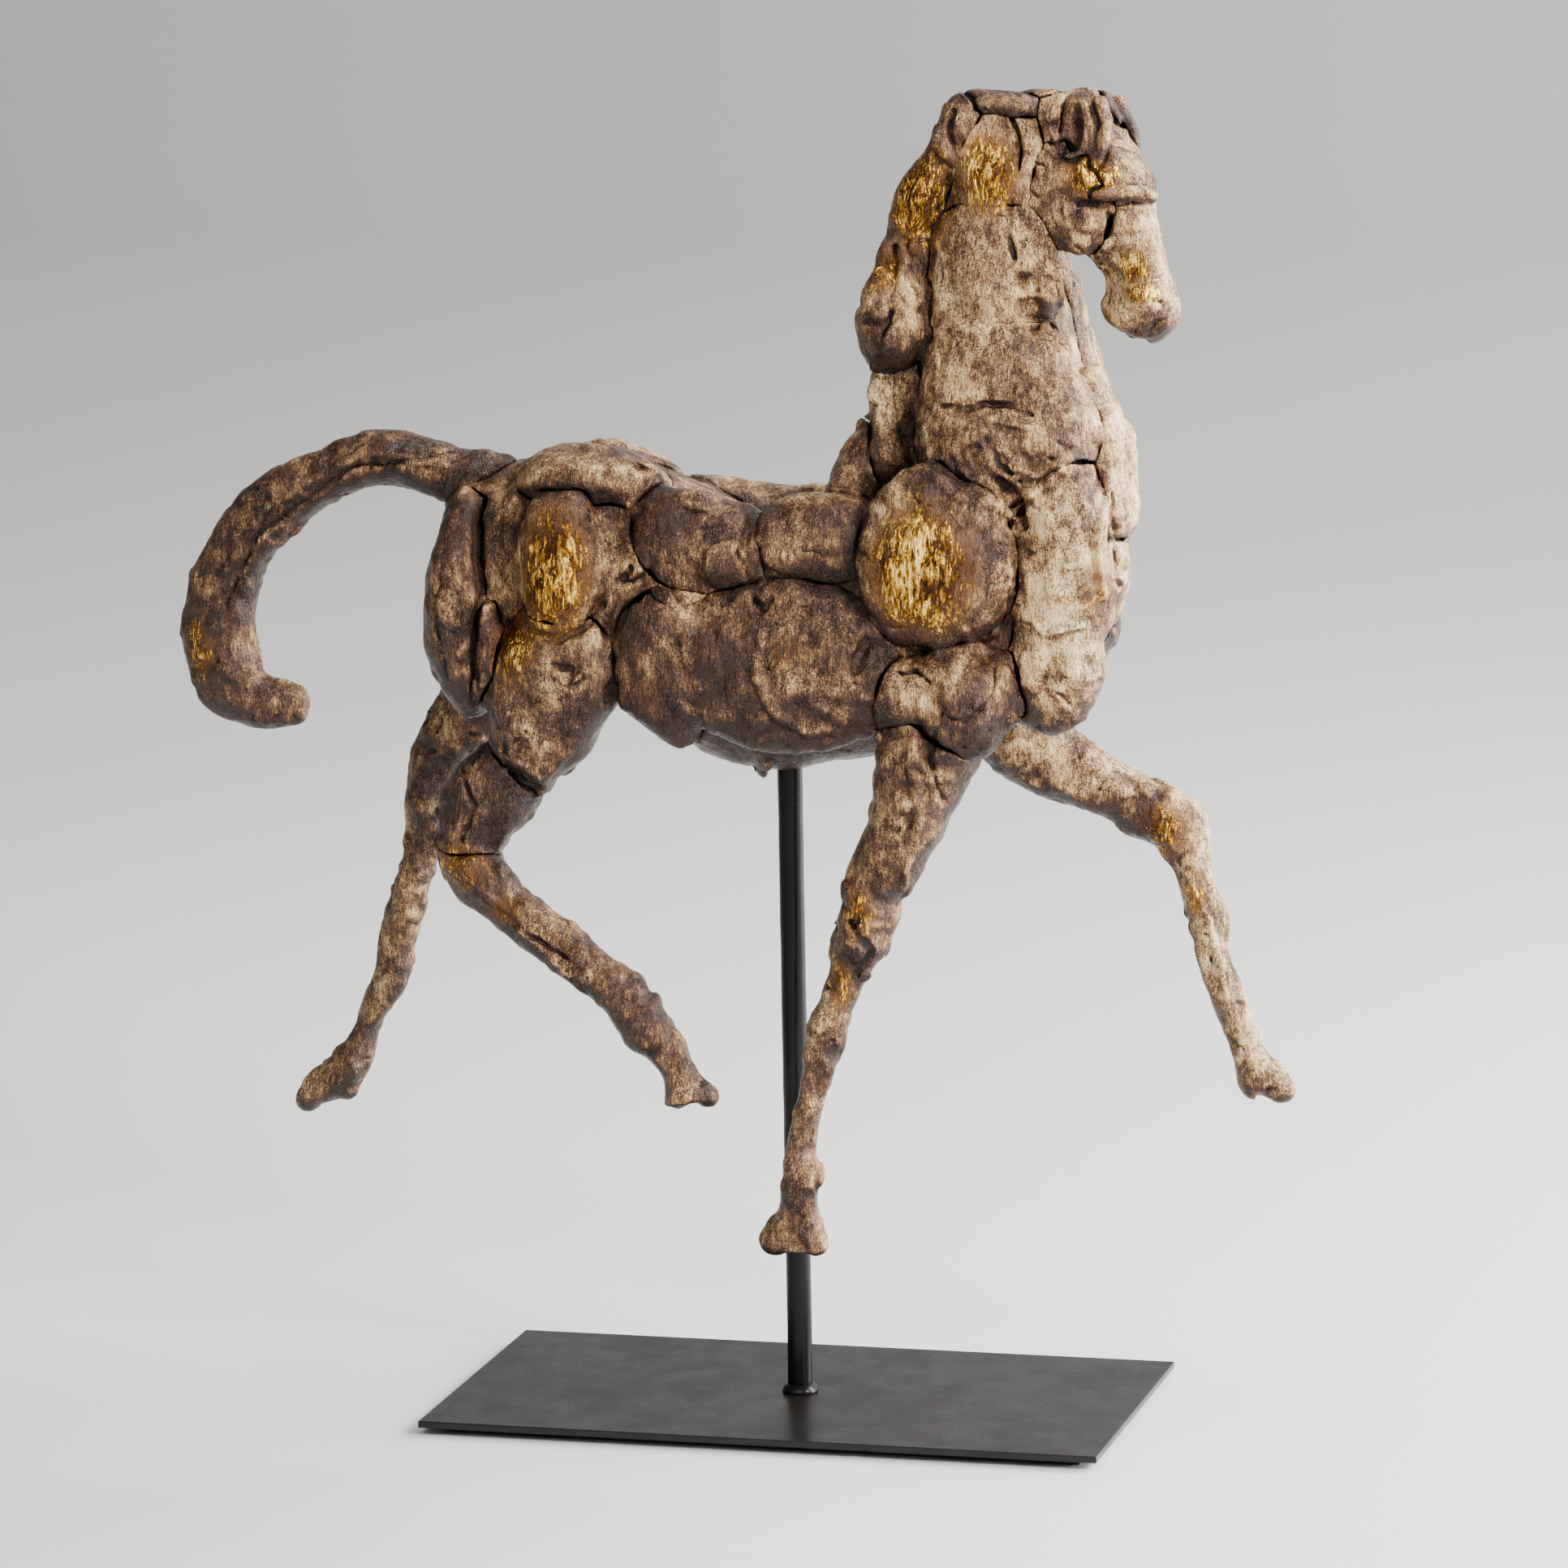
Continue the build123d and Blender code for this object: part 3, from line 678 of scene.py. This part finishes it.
# ---- in mm ----
CORE_LEVEL = -0.9            # the cores lie deeper than the slabs on them
SLAB_LEVEL = 0.6             # how much slabs differ in height
PILLOW = 0.7                 # how far a slab's middle stands over its edges
PILLOW_EDGE = 4.0
CREASE_DEPTH = 1.3           # of an open seam, and also its half width


def thumbed(slab, seed):
    """Pillowed edges, lumps and tool marks that run on from slab to slab."""
    p = slab.points
    lumps = (0.30 * noise(p, 17 * MM, 1) + 0.20 * noise(p, 7 * MM, 2) + 0.18 * noise(p, 3.5 * MM, 3)
             + 0.14 * noise(p * (1, 1, 0.6), 1.9 * MM, 4))
    level = CORE_LEVEL if slab.node.endswith("_core") else SLAB_LEVEL * np.sin(seed * 2.4)
    own = 0.3 * noise(p, 14 * MM, seed) + level
    slab.open_seam = np.clip(0.55 + 0.75 * swing(*p.T) + 0.5 * noise(p, 6 * MM, 6), 0.0, 1.3)
    if slab.node in SEALED:
        slab.open_seam *= 0.35
    crease = np.exp(-(slab.seam / (CREASE_DEPTH * MM)) ** 2) * (0.15 + 0.85 * slab.open_seam)
    pillow = PILLOW * smoothstep(0, PILLOW_EDGE * MM, slab.seam)
    pillow = pillow * (0.3 if slab.node in LIMBS else 1.0) - 0.2
    slab.push((lumps + own * (1.0 - slab.fused) + pillow - CREASE_DEPTH * crease) * MM)


def over_crown(x, y, z):
    """Negative above the top of the head, which is a little domed and uneven."""
    dome = (y + 3 * MM) ** 2 / (2 * CROWN_ROUND)
    waves = np.sin(x / (5 * MM) + 0.6) * np.sin(y / (4 * MM) + 1.1)
    return CROWN - dome - 0.5 * MM * (1 + waves) - z


slabs = build_slabs()
rng = np.random.default_rng(11)
for node, line, width in PLUGS:
    plug(node, line, width)
for slab in slabs.values():
    if slab.node not in BARE:
        handwork(slab, rng)
hand = np.random.default_rng(5)
for side, strokes in ((NEAR, NEAR_RIDGES), (FAR, FAR_RIDGES)):
    for node, line, width in strokes:
        stroke(node, side, line, RIDGE_FULLER * width, hand)
for side, strokes in ((NEAR, NEAR_CREASES), (FAR, FAR_CREASES)):
    for node, line, width in strokes:
        stroke(node, side, line, CREASE_WIDER * width, hand, cut=True)
for node, line, width in SCOOPS:
    plug(node, line, width, cut=True)
sculpt(*CROWN_ROOM, over_crown, CROWN_SOFT, cut=True)
for number, slab in enumerate(slabs.values()):
    slab.carve()
    thumbed(slab, 100 + number)


# ======== gaps and rims

def enclosure(slabs):
    """Sets how enclosed each point is: about 0.5 on the flat, more in a gap and less on a rim."""
    voxel = 1.0 * MM
    room = 15 * MM
    first = np.floor((np.array(CAD_BOUNDS[0]) - room) / voxel).astype(int)
    last = np.ceil((np.array(CAD_BOUNDS[1]) + room) / voxel).astype(int)
    filled = Block(first, np.zeros(last - first, np.float32))
    for slab in slabs.values():
        triangles = np.concatenate([slab.quads[:, [0, 1, 2]], slab.quads[:, [0, 2, 3]]])
        triangles = triangles.astype(np.uint32)
        block = distance_block(slab.points.astype(np.float32), triangles, voxel, 3 * voxel)
        mine, theirs = filled.shared(block)
        inside = np.clip(0.5 - block.field[theirs] / voxel, 0, 1)
        filled.field[mine] = np.maximum(filled.field[mine], inside)
    near = Block(first, blurred(filled.field, 5))
    for slab in slabs.values():
        probe = slab.points + slab.normals * 0.6 * MM
        slab.near = near.at(probe, voxel)


enclosure(slabs)


# ======== materials

class Nodes:
    """Short calls for building a node tree."""

    def __init__(self, name):
        self.material = bpy.data.materials.new(name)
        self.material.use_nodes = True
        self.tree = self.material.node_tree
        self.shader = self.tree.nodes["Principled BSDF"]
        self.place = self.tree.nodes.new("ShaderNodeTexCoord").outputs["Object"]

    def put(self, socket, value):
        if isinstance(value, bpy.types.NodeSocket):
            self.tree.links.new(value, socket)
        else:
            socket.default_value = value

    def set(self, name, value):
        self.put(self.shader.inputs[name], value)

    def attribute(self, name):
        node = self.tree.nodes.new("ShaderNodeAttribute")
        node.attribute_name = name
        return node.outputs["Fac"]

    def math(self, operation, a, b=0.0, clamp=False):
        node = self.tree.nodes.new("ShaderNodeMath")
        node.operation = operation
        node.use_clamp = clamp
        self.put(node.inputs[0], a)
        self.put(node.inputs[1], b)
        return node.outputs[0]

    def ramp(self, value, low, high, out_low=0.0, out_high=1.0):
        """Smooth step from low to high."""
        node = self.tree.nodes.new("ShaderNodeMapRange")
        node.interpolation_type = "SMOOTHSTEP"
        for socket, number in zip(node.inputs, (value, low, high, out_low, out_high)):
            self.put(socket, number)
        return node.outputs[0]

    def noise(self, scale, detail=3.0, stretch=(1, 1, 1), roughness=0.55, warp=0.0, turn=0.0):
        """Noise with scale features to the metre, before stretching and turning about y."""
        mapping = self.tree.nodes.new("ShaderNodeMapping")
        self.put(mapping.inputs["Vector"], self.place)
        mapping.inputs["Scale"].default_value = stretch
        mapping.inputs["Rotation"].default_value = (0, turn, 0)
        node = self.tree.nodes.new("ShaderNodeTexNoise")
        self.put(node.inputs["Vector"], mapping.outputs[0])
        node.inputs["Scale"].default_value = scale
        node.inputs["Detail"].default_value = detail
        node.inputs["Roughness"].default_value = roughness
        node.inputs["Distortion"].default_value = warp
        return node.outputs["Fac"]

    def about(self, base, parts):
        """The base plus each noise's distance from its middle value times its weight."""
        total = base
        for value, weight in parts:
            off = self.math("SUBTRACT", value, 0.5)
            total = self.math("ADD", self.math("MULTIPLY", off, weight), total)
        return total

    def colors(self, value, stops):
        node = self.tree.nodes.new("ShaderNodeValToRGB")
        self.put(node.inputs[0], value)
        elements = node.color_ramp.elements
        while len(elements) < len(stops):
            elements.new(0.5)
        for element, (place, color) in zip(elements, stops):
            element.position = place
            element.color = (*color, 1)
        return node.outputs[0]

    def wrinkles(self, scale, width, warp):
        """1 on thin winding lines and 0 elsewhere."""
        value = self.noise(scale, 3, (1, 1, 0.6), 0.6, warp)
        off = self.math("ABSOLUTE", self.math("SUBTRACT", value, 0.5))
        return self.ramp(off, 0.0, width, 1.0, 0.0)

    def mix(self, factor, a, b):
        node = self.tree.nodes.new("ShaderNodeMix")
        node.data_type = "RGBA"
        self.put(node.inputs[0], factor)
        self.put(node.inputs[6], a if isinstance(a, bpy.types.NodeSocket) else (*a, 1))
        self.put(node.inputs[7], b if isinstance(b, bpy.types.NodeSocket) else (*b, 1))
        return node.outputs[2]

    def bump(self, height, distance, under=None):
        node = self.tree.nodes.new("ShaderNodeBump")
        node.inputs["Distance"].default_value = distance
        self.put(node.inputs["Height"], height)
        if under:
            self.put(node.inputs["Normal"], under)
        return node.outputs[0]


# patina colours from soot-black to pale tan; the dark end also serves as painted shade where the rim and
# hollow marks push the value down
WEAR_AND_SHADE = [(0.05, (0.020, 0.008, 0.004)), (0.30, (0.072, 0.031, 0.015)), (0.48, (0.165, 0.085, 0.035)),
        (0.60, (0.305, 0.184, 0.078)), (0.98, (0.760, 0.550, 0.300))]
# gold leaf colours from near-black amber to bright yellow; the dark and bright ends are painted shade
# and painted glints on the gold
GILT = [(0.10, (0.035, 0.012, 0.003)), (0.40, (0.210, 0.085, 0.010)), (0.65, (0.560, 0.300, 0.035)),
        (0.95, (0.980, 0.700, 0.220))]
AMBER = (0.105, 0.040, 0.010)
# near-black used both as painted shade in seams, creases and hollows and as soot in random patches and
# cracks
SHADE_AND_SOOT = (0.008, 0.006, 0.005)


def patina():
    """Clay-tan casting with brushed brown and plum patina, painted shade and some soot in gaps, creases
    and hollows, and worn gold leaf with painted glints.
    """
    n = Nodes("bronze_patina")
    cloud = n.noise(45, 4, roughness=0.6)
    patch = n.noise(150, 7, (1, 1, 0.6), 0.70, turn=0.7)
    broad = n.noise(650, 3, (1, 1, 0.25), 0.6, 0.5, turn=-0.3)
    fine = n.noise(1700, 3, (1, 1, 0.15), 0.65, 0.3)
    grain = n.noise(2600, 2, (1, 1, 0.7))
    rim = n.attribute("rim")
    gap = n.attribute("gap")
    gold = n.attribute("gold")

    wear_and_shade = n.about(0.505, [(fine, 0.9), (broad, 0.6), (patch, 1.5), (cloud, 1.5), (grain, 1.4)])
    # painted shade: the rim mark darkens enclosed places, and as a darker patina band the edges along
    # open seams
    wear_and_shade = n.math("SUBTRACT", wear_and_shade, n.math("MULTIPLY", rim, 0.46))
    # adds each piece's own colour shift, painted shade in hollows and on faces turned down, and paler
    # patches, some of them painted highlights
    wear_and_shade = n.math("ADD", wear_and_shade, n.attribute("tone"))
    color = n.colors(wear_and_shade, WEAR_AND_SHADE)
    color = n.mix(n.math("MULTIPLY", n.ramp(gold, 0.02, 0.5), 0.7), color, AMBER)

    flake = n.math("ADD", gold, n.about(0.0, [(patch, 1.5), (broad, 1.3), (fine, 0.8)]))
    flake = n.math("MULTIPLY", n.ramp(flake, 0.28, 0.68), n.ramp(gold, 0.05, 0.25))
    # gold leaf colour with painted glints, brightest towards the middle of each gold patch, and painted
    # shade at random
    gilt_glint_and_shade = n.about(-0.10, [(fine, 2.4), (broad, 2.0), (patch, 2.4), (cloud, 1.4)])
    gilt_glint_and_shade = n.math("ADD", gilt_glint_and_shade, n.math("MULTIPLY", gold, 0.60))
    color = n.mix(flake, color, n.colors(gilt_glint_and_shade, GILT))

    lines = n.math("MULTIPLY", n.wrinkles(260, 0.030, 1.0), n.ramp(n.noise(75, 3), 0.44, 0.58))
    # painted shade from the gap mark along open seams, in creases and in enclosed hollows, with soot in
    # random patches and fine dark cracks on top
    shade_and_dirt = n.math("ADD", gap, n.about(0.0, [(patch, 0.9), (grain, 0.6)]))
    shade_and_dirt = n.math("MAXIMUM", n.ramp(shade_and_dirt, 0.25, 0.85), n.math("MULTIPLY", lines, 0.6))
    color = n.mix(shade_and_dirt, color, SHADE_AND_SOOT)
    n.set("Base Color", color)

    clean = n.math("MULTIPLY", flake, n.math("SUBTRACT", 1.0, shade_and_dirt))
    n.set("Metallic", n.math("MULTIPLY", clean, 0.95))
    rough = n.about(0.30, [(broad, 0.5), (patch, 0.6), (cloud, 0.6)])
    rough = n.math("ADD", rough, n.math("MULTIPLY", rim, -0.08))
    rough = n.math("ADD", rough, n.math("MULTIPLY", shade_and_dirt, 0.20))
    rough = n.math("ADD", rough, n.math("MULTIPLY", clean, -0.12), clamp=True)
    n.set("Roughness", n.math("MAXIMUM", rough, 0.16))
    n.set("Specular IOR Level", 0.27)

    normal = n.bump(n.noise(300, 4, (1, 1, 0.6)), 0.0013)
    normal = n.bump(broad, 0.0005, under=normal)
    normal = n.bump(fine, 0.0003, under=normal)
    normal = n.bump(grain, 0.0004, under=normal)
    normal = n.bump(n.math("MULTIPLY", lines, -1.0), 0.0005, under=normal)
    n.set("Normal", normal)
    return n.material


def black_paint(gloss):
    n = Nodes("black_paint")
    cloud = n.ramp(n.noise(22, 3), 0.3, 0.7)
    color = n.mix(cloud, (0.003, 0.003, 0.003), (0.006, 0.005, 0.0045))
    n.set("Base Color", color)
    n.set("Roughness", n.ramp(n.noise(60, 4), 0.3, 0.7, 0.24, 0.34))
    n.set("Specular IOR Level", gloss)
    n.set("Normal", n.bump(n.noise(1500, 2), 0.00002))
    return n.material


def felt():
    n = Nodes("grey_felt")
    fibre = n.noise(2500, 4, warp=1.5)
    color = n.mix(n.ramp(fibre, 0.3, 0.7), (0.020, 0.020, 0.020), (0.060, 0.058, 0.056))
    n.set("Base Color", color)
    n.set("Roughness", 0.95)
    n.set("Normal", n.bump(fibre, 0.0004))
    return n.material


def steel():
    n = Nodes("steel")
    lines = n.noise(3000, 2, (1, 1, 0.05))
    n.set("Base Color", n.mix(lines, (0.45, 0.45, 0.46), (0.62, 0.62, 0.63)))
    n.set("Metallic", 1.0)
    n.set("Roughness", n.ramp(lines, 0.3, 0.7, 0.28, 0.42))
    return n.material


PATINA = patina()
PLATE_PAINT = black_paint(0.26)
POST_PAINT = black_paint(0.16)
FELT = felt()
STEEL = steel()


def store(mesh, name, values):
    attribute = mesh.attributes.new(name, "FLOAT", "POINT")
    attribute.data.foreach_set("value", values.astype(np.float32))


# gold leaf: piece, middle on the near side as shares of its length and height,
# half length and half height in mm, amount
GOLD = [
    ("haunch_slab", (0.5, 0.42), (18, 32), 1.0), ("thigh_slab", (0.27, 0.8), (14, 18), 0.85),
    ("shoulder_slab", (0.44, 0.44), (26, 33), 1.0), ("crest_slab", (0.5, 0.42), (16, 20), 0.85),
    ("mane_gold_lock", (0.5, 0.5), (17, 28), 0.9), ("brow_slab", (0.18, 0.5), (14, 9), 0.85),
    ("nasal_slab", (0.45, 0.08), (8, 11), 0.8), ("muzzle", (0.45, 0.85), (9, 6), 0.75),
    ("mane_teardrop", (0.45, 0.8), (9, 13), 0.7), ("near_hind_cannon", (0.1, 0.92), (15, 12), 0.58),
    ("near_hind_cannon", (0.26, 0.76), (12, 9), 0.42), ("near_fore_cannon", (0.76, 0.94), (9, 14), 0.62),
    ("near_fore_cannon", (0.6, 0.74), (7, 13), 0.58), ("far_fore_cannon", (0.15, 0.9), (11, 13), 0.75),
    ("far_fore_cannon", (0.36, 0.7), (7, 13), 0.55),
    ("tail", (0.06, 0.12), (11, 15), 0.65), ("tail", (0.5, 0.97), (16, 6), 0.6),
    ("chest_strips", (0.6, 0.2), (6, 24), 0.6), ("belly_slab", (0.55, 0.6), (14, 12), 0.25),
    ("flank_slab", (0.45, 0.35), (10, 12), 0.25),
]

# places paler, or darker, than the rest of their piece, in the same form: partly worn patina, partly
# painted highlights, as on the lower breast
RUBBED_AND_HIGHLIT = [
    ("belly_slab", (0.62, 0.46), (15, 15), 0.2), ("belly_slab", (0.3, 0.62), (9, 20), -0.1),
    ("flank_slab", (0.3, 0.8), (12, 10), -0.14), ("shoulder_slab", (0.4, 0.92), (24, 12), -0.24),
    ("shoulder_slab", (0.9, 0.4), (7, 22), -0.12), ("neck_slab", (0.12, 0.6), (12, 16), -0.12),
    ("neck_slab", (0.6, 0.2), (12, 12), 0.08), ("neck_base_slab", (0.3, 0.7), (16, 18), 0.08),
    ("skull", (0.3, 0.25), (14, 14), -0.08), ("lower_breast_slab", (0.55, 0.75), (16, 10), 0.14),
    ("lower_breast_slab", (0.5, 0.1), (18, 8), -0.16), ("croup_slab", (0.5, 0.7), (26, 8), 0.08),
    ("loin_rear_slab", (0.45, 0.6), (12, 9), 0.1), ("loin_rear_slab", (0.15, 0.55), (7, 14), -0.1),
    ("haunch_slab", (0.5, 0.98), (14, 5), -0.18), ("breast_slab", (0.45, 0.2), (12, 14), 0.06),
    ("elbow_slab", (0.3, 0.55), (12, 10), 0.06), ("near_hind_cannon", (0.62, 0.62), (8, 30), 0.1),
]


def patch_shares(places):
    """For each place, its amount and each slab with how much of it lies there, from 0 to 1."""
    for node, (u, v), (half_x, half_z), amount in places:
        middle = slabs[node].on_skin(u, v, NEAR)
        if middle is None:
            continue
        for slab in slabs.values():
            off = (slab.points - middle) / (half_x * MM, 16 * MM, half_z * MM)
            yield slab, amount, 1.0 - smoothstep(0.10, 1.15, np.linalg.norm(off, axis=1))


def gild():
    for slab, amount, share in patch_shares(GOLD):
        slab.gold = np.maximum(slab.gold, amount * share)
    # paler and darker patches, some of them painted highlights
    for slab, amount, share in patch_shares(RUBBED_AND_HIGHLIT):
        slab.tone += amount * share


def finish_slab(slab):
    obj = mesh_object("horse_" + slab.node, slab.points, slab.quads)
    bend = slab.bend()
    # painted shade: gap is 1 along open seams, in enclosed hollows and in creases, where the material
    # paints them near-black
    gap = (1.0 - smoothstep(0.1 * MM, 0.9 * MM, slab.seam)) * np.clip(slab.open_seam, 0, 1)
    gap = np.maximum(gap, smoothstep(0.58, 0.80, slab.near))
    gap = np.maximum(gap, 0.8 * smoothstep(0.03 * MM, 0.12 * MM, -bend))
    # a darker patina band along open seams; the next line adds painted shade where the surface is
    # enclosed
    rim = (1.0 - smoothstep(0.5 * MM, 7.8 * MM, slab.seam)) * np.clip(0.3 + 0.7 * slab.open_seam, 0, 1)
    rim = np.maximum(rim, smoothstep(0.50, 0.62, slab.near))
    cavity = slab.cavity()
    # painted shade in hollows and paler on bumps; the next line paints shade on faces turned down
    tone = slab.tone + 0.55 * np.clip(cavity, -0.5, 0) + 0.35 * np.clip(cavity, 0, 0.35)
    tone -= 0.5 * smoothstep(0.0, -0.7, slab.normals[:, 2])
    for name, values in (("gap", gap), ("rim", rim), ("gold", slab.gold), ("tone", tone)):
        store(obj.data, name, values)
    obj.data.materials.append(PATINA)
    if len(slab.quads) > MOST_QUADS:
        thin = obj.modifiers.new("thin", "DECIMATE")
        thin.ratio = MOST_QUADS / len(slab.quads)
    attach(obj, "root")
    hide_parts(slab.node)


gild()
for slab in slabs.values():
    finish_slab(slab)
for node in HIDDEN:
    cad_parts[node].data.materials.clear()
    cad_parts[node].data.materials.append(STEEL)


# ======== the stand

NICK = (0.655, 0.662, 0.67)  # its left end, middle and right end as shares of the plate's length
NICK_DEPTH = 0.8 * MM


def stand_piece(node, obj, material):
    obj.name = "stand_" + node
    obj.data.materials.append(material)
    for face in obj.data.polygons:
        face.use_smooth = True
    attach(obj, "root")
    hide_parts(node)


def sheet(node, rounding, material, worn=False):
    """A flat plate in the piece's box with rounded edges, and if worn a nick in the front edge."""
    low, high = map(np.array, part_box(node))
    bm = bmesh.new()
    bmesh.ops.create_cube(bm, size=1.0)
    for vert in bm.verts:
        vert.co = [a + (c + 0.5) * (b - a) for a, b, c in zip(low, high, vert.co)]
    bmesh.ops.bevel(bm, geom=bm.edges[:], offset=rounding, segments=3, affect="EDGES", profile=0.6)
    if worn:
        for share in NICK:
            across = low[0] + share * (high[0] - low[0])
            bmesh.ops.bisect_plane(bm, geom=bm.verts[:] + bm.edges[:] + bm.faces[:],
                                   plane_co=(across, 0, 0), plane_no=(1, 0, 0))
        for vert in bm.verts:
            off = abs(vert.co.x - (low[0] + NICK[1] * (high[0] - low[0])))
            if off < 0.4 * MM and vert.co.y < low[1] + 1.5 * MM:
                vert.co.y += NICK_DEPTH
    mesh = bpy.data.meshes.new(node)
    bm.to_mesh(mesh)
    bm.free()
    obj = link(bpy.data.objects.new(node, mesh))
    stand_piece(node, obj, material)
    shaded = obj.modifiers.new("shading", "WEIGHTED_NORMAL")
    shaded.keep_sharp = True


def turned(node, profile, lumps, material):
    """A round piece in its box; profile holds shares of its radius and height, lumps are in mm."""
    low, high = map(np.array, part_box(node))
    middle, half = (low + high) / 2, (high - low) / 2
    around = 72
    angles = np.arange(around) * 2 * np.pi / around
    rows = []
    for radius, height in profile:
        ring = np.stack([middle[0] + half[0] * radius * np.cos(angles),
                         middle[1] + half[1] * radius * np.sin(angles),
                         np.full(around, low[2] + height * (high[2] - low[2]))], axis=1)
        shift = lumps * MM * noise(ring * (1, 1, 0.4), 4 * MM, 41)[:, None]
        rows.append(ring + shift * np.stack([np.cos(angles), np.sin(angles), 0 * angles], axis=1))
    points = np.concatenate(rows)
    mesh = bpy.data.meshes.new(node)
    faces = [(r * around + i, r * around + (i + 1) % around, (r + 1) * around + (i + 1) % around,
              (r + 1) * around + i) for r in range(len(profile) - 1) for i in range(around)]
    faces.append(tuple(reversed(range(around))))
    faces.append(tuple((len(profile) - 1) * around + i for i in range(around)))
    mesh.from_pydata(points.tolist(), [], faces)
    stand_piece(node, link(bpy.data.objects.new(node, mesh)), material)


sheet("base_plate", 0.45 * MM, PLATE_PAINT, worn=True)
sheet("base_pad", 0.30 * MM, FELT)
turned("post", [(1.0, n / 60) for n in range(61)], 0.10, POST_PAINT)
WELD = [(1.0, 0.0), (0.99, 0.25), (0.93, 0.55), (0.82, 0.85), (0.72, 1.0)]
turned("post_weld", WELD, 0.45, POST_PAINT)


# ======== floor, light and camera

def area_light(name, at, look, size, power, color=(1, 1, 1)):
    data = bpy.data.lights.new(name, "AREA")
    data.shape = "RECTANGLE"
    data.size, data.size_y = size
    data.energy = power
    data.color = color
    lamp = link(bpy.data.objects.new(name, data))
    lamp.location = at
    lamp.rotation_euler = (Vector(look) - Vector(at)).to_track_quat("-Z", "Y").to_euler()


def stage():
    """A pale floor that bends up into a wall, and the lamps."""
    radius = 1.5
    angles = [math.pi / 32 * i for i in range(17)]
    bend = [(4.0 + radius * math.sin(a), radius - radius * math.cos(a)) for a in angles]
    profile = [(-6.0, 0.0)] + bend + [(5.5, 7.0)]
    points = [(x, y, z) for x in (-9.0, 9.0) for y, z in profile]
    faces = [(i, i + len(profile), i + len(profile) + 1, i + 1) for i in range(len(profile) - 1)]
    mesh = bpy.data.meshes.new("floor")
    mesh.from_pydata(points, [], faces)
    for face in mesh.polygons:
        face.use_smooth = True
    floor = link(bpy.data.objects.new("floor", mesh))
    n = Nodes("floor")
    n.set("Base Color", (0.62, 0.61, 0.60, 1))
    n.set("Roughness", 0.6)
    floor.data.materials.append(n.material)
    world = bpy.data.worlds.new("studio")
    world.use_nodes = True
    background = world.node_tree.nodes["Background"]
    background.inputs["Color"].default_value = (0.80, 0.81, 0.83, 1)
    background.inputs["Strength"].default_value = 0.17
    bpy.context.scene.world = world
    middle = (0, 0, 0.27)
    area_light("window", (1.3, 0.6, 0.8), middle, (1.2, 1.6), 130, (1.0, 0.99, 0.97))
    area_light("key", (1.25, -0.85, 0.95), (0.05, 0, 0.32), (0.45, 0.45), 62, (1.0, 0.98, 0.95))
    area_light("front_fill", (-0.2, -2.3, 1.4), middle, (1.0, 0.9), 20, (1.0, 0.98, 0.95))
    area_light("overhead", (0.1, -0.1, 1.9), middle, (0.7, 0.7), 17)
    area_light("backdrop", (2.2, 2.6, 3.0), (0.6, 5.2, 0.6), (2.5, 2.5), 260)


LENS = 167.7                          # in mm on a 36 mm sensor
CAMERA_AT = (0.66317, -2.4975, 0.68975)
CAMERA_ANGLES = (14.92, 10.08, -1.0)  # to the right, above, and rolled, in degrees


def camera():
    """Long lens in front of the plate, a little to its right and above."""
    azimuth, elevation, roll = map(math.radians, CAMERA_ANGLES)
    back = Vector((math.sin(azimuth) * math.cos(elevation), -math.cos(azimuth) * math.cos(elevation),
                   math.sin(elevation)))
    right = Vector((math.cos(azimuth), math.sin(azimuth), 0))
    up = right.cross(-back)
    turned_right = right * math.cos(roll) + up * math.sin(roll)
    turned_up = -right * math.sin(roll) + up * math.cos(roll)
    data = bpy.data.cameras.new("camera")
    data.sensor_width = 36.0
    data.lens = LENS
    data.clip_end = 50
    obj = link(bpy.data.objects.new("camera", data))
    axes = Matrix((turned_right, turned_up, back)).transposed().to_4x4()
    obj.matrix_world = Matrix.Translation(CAMERA_AT) @ axes
    bpy.context.scene.camera = obj


stage()
camera()
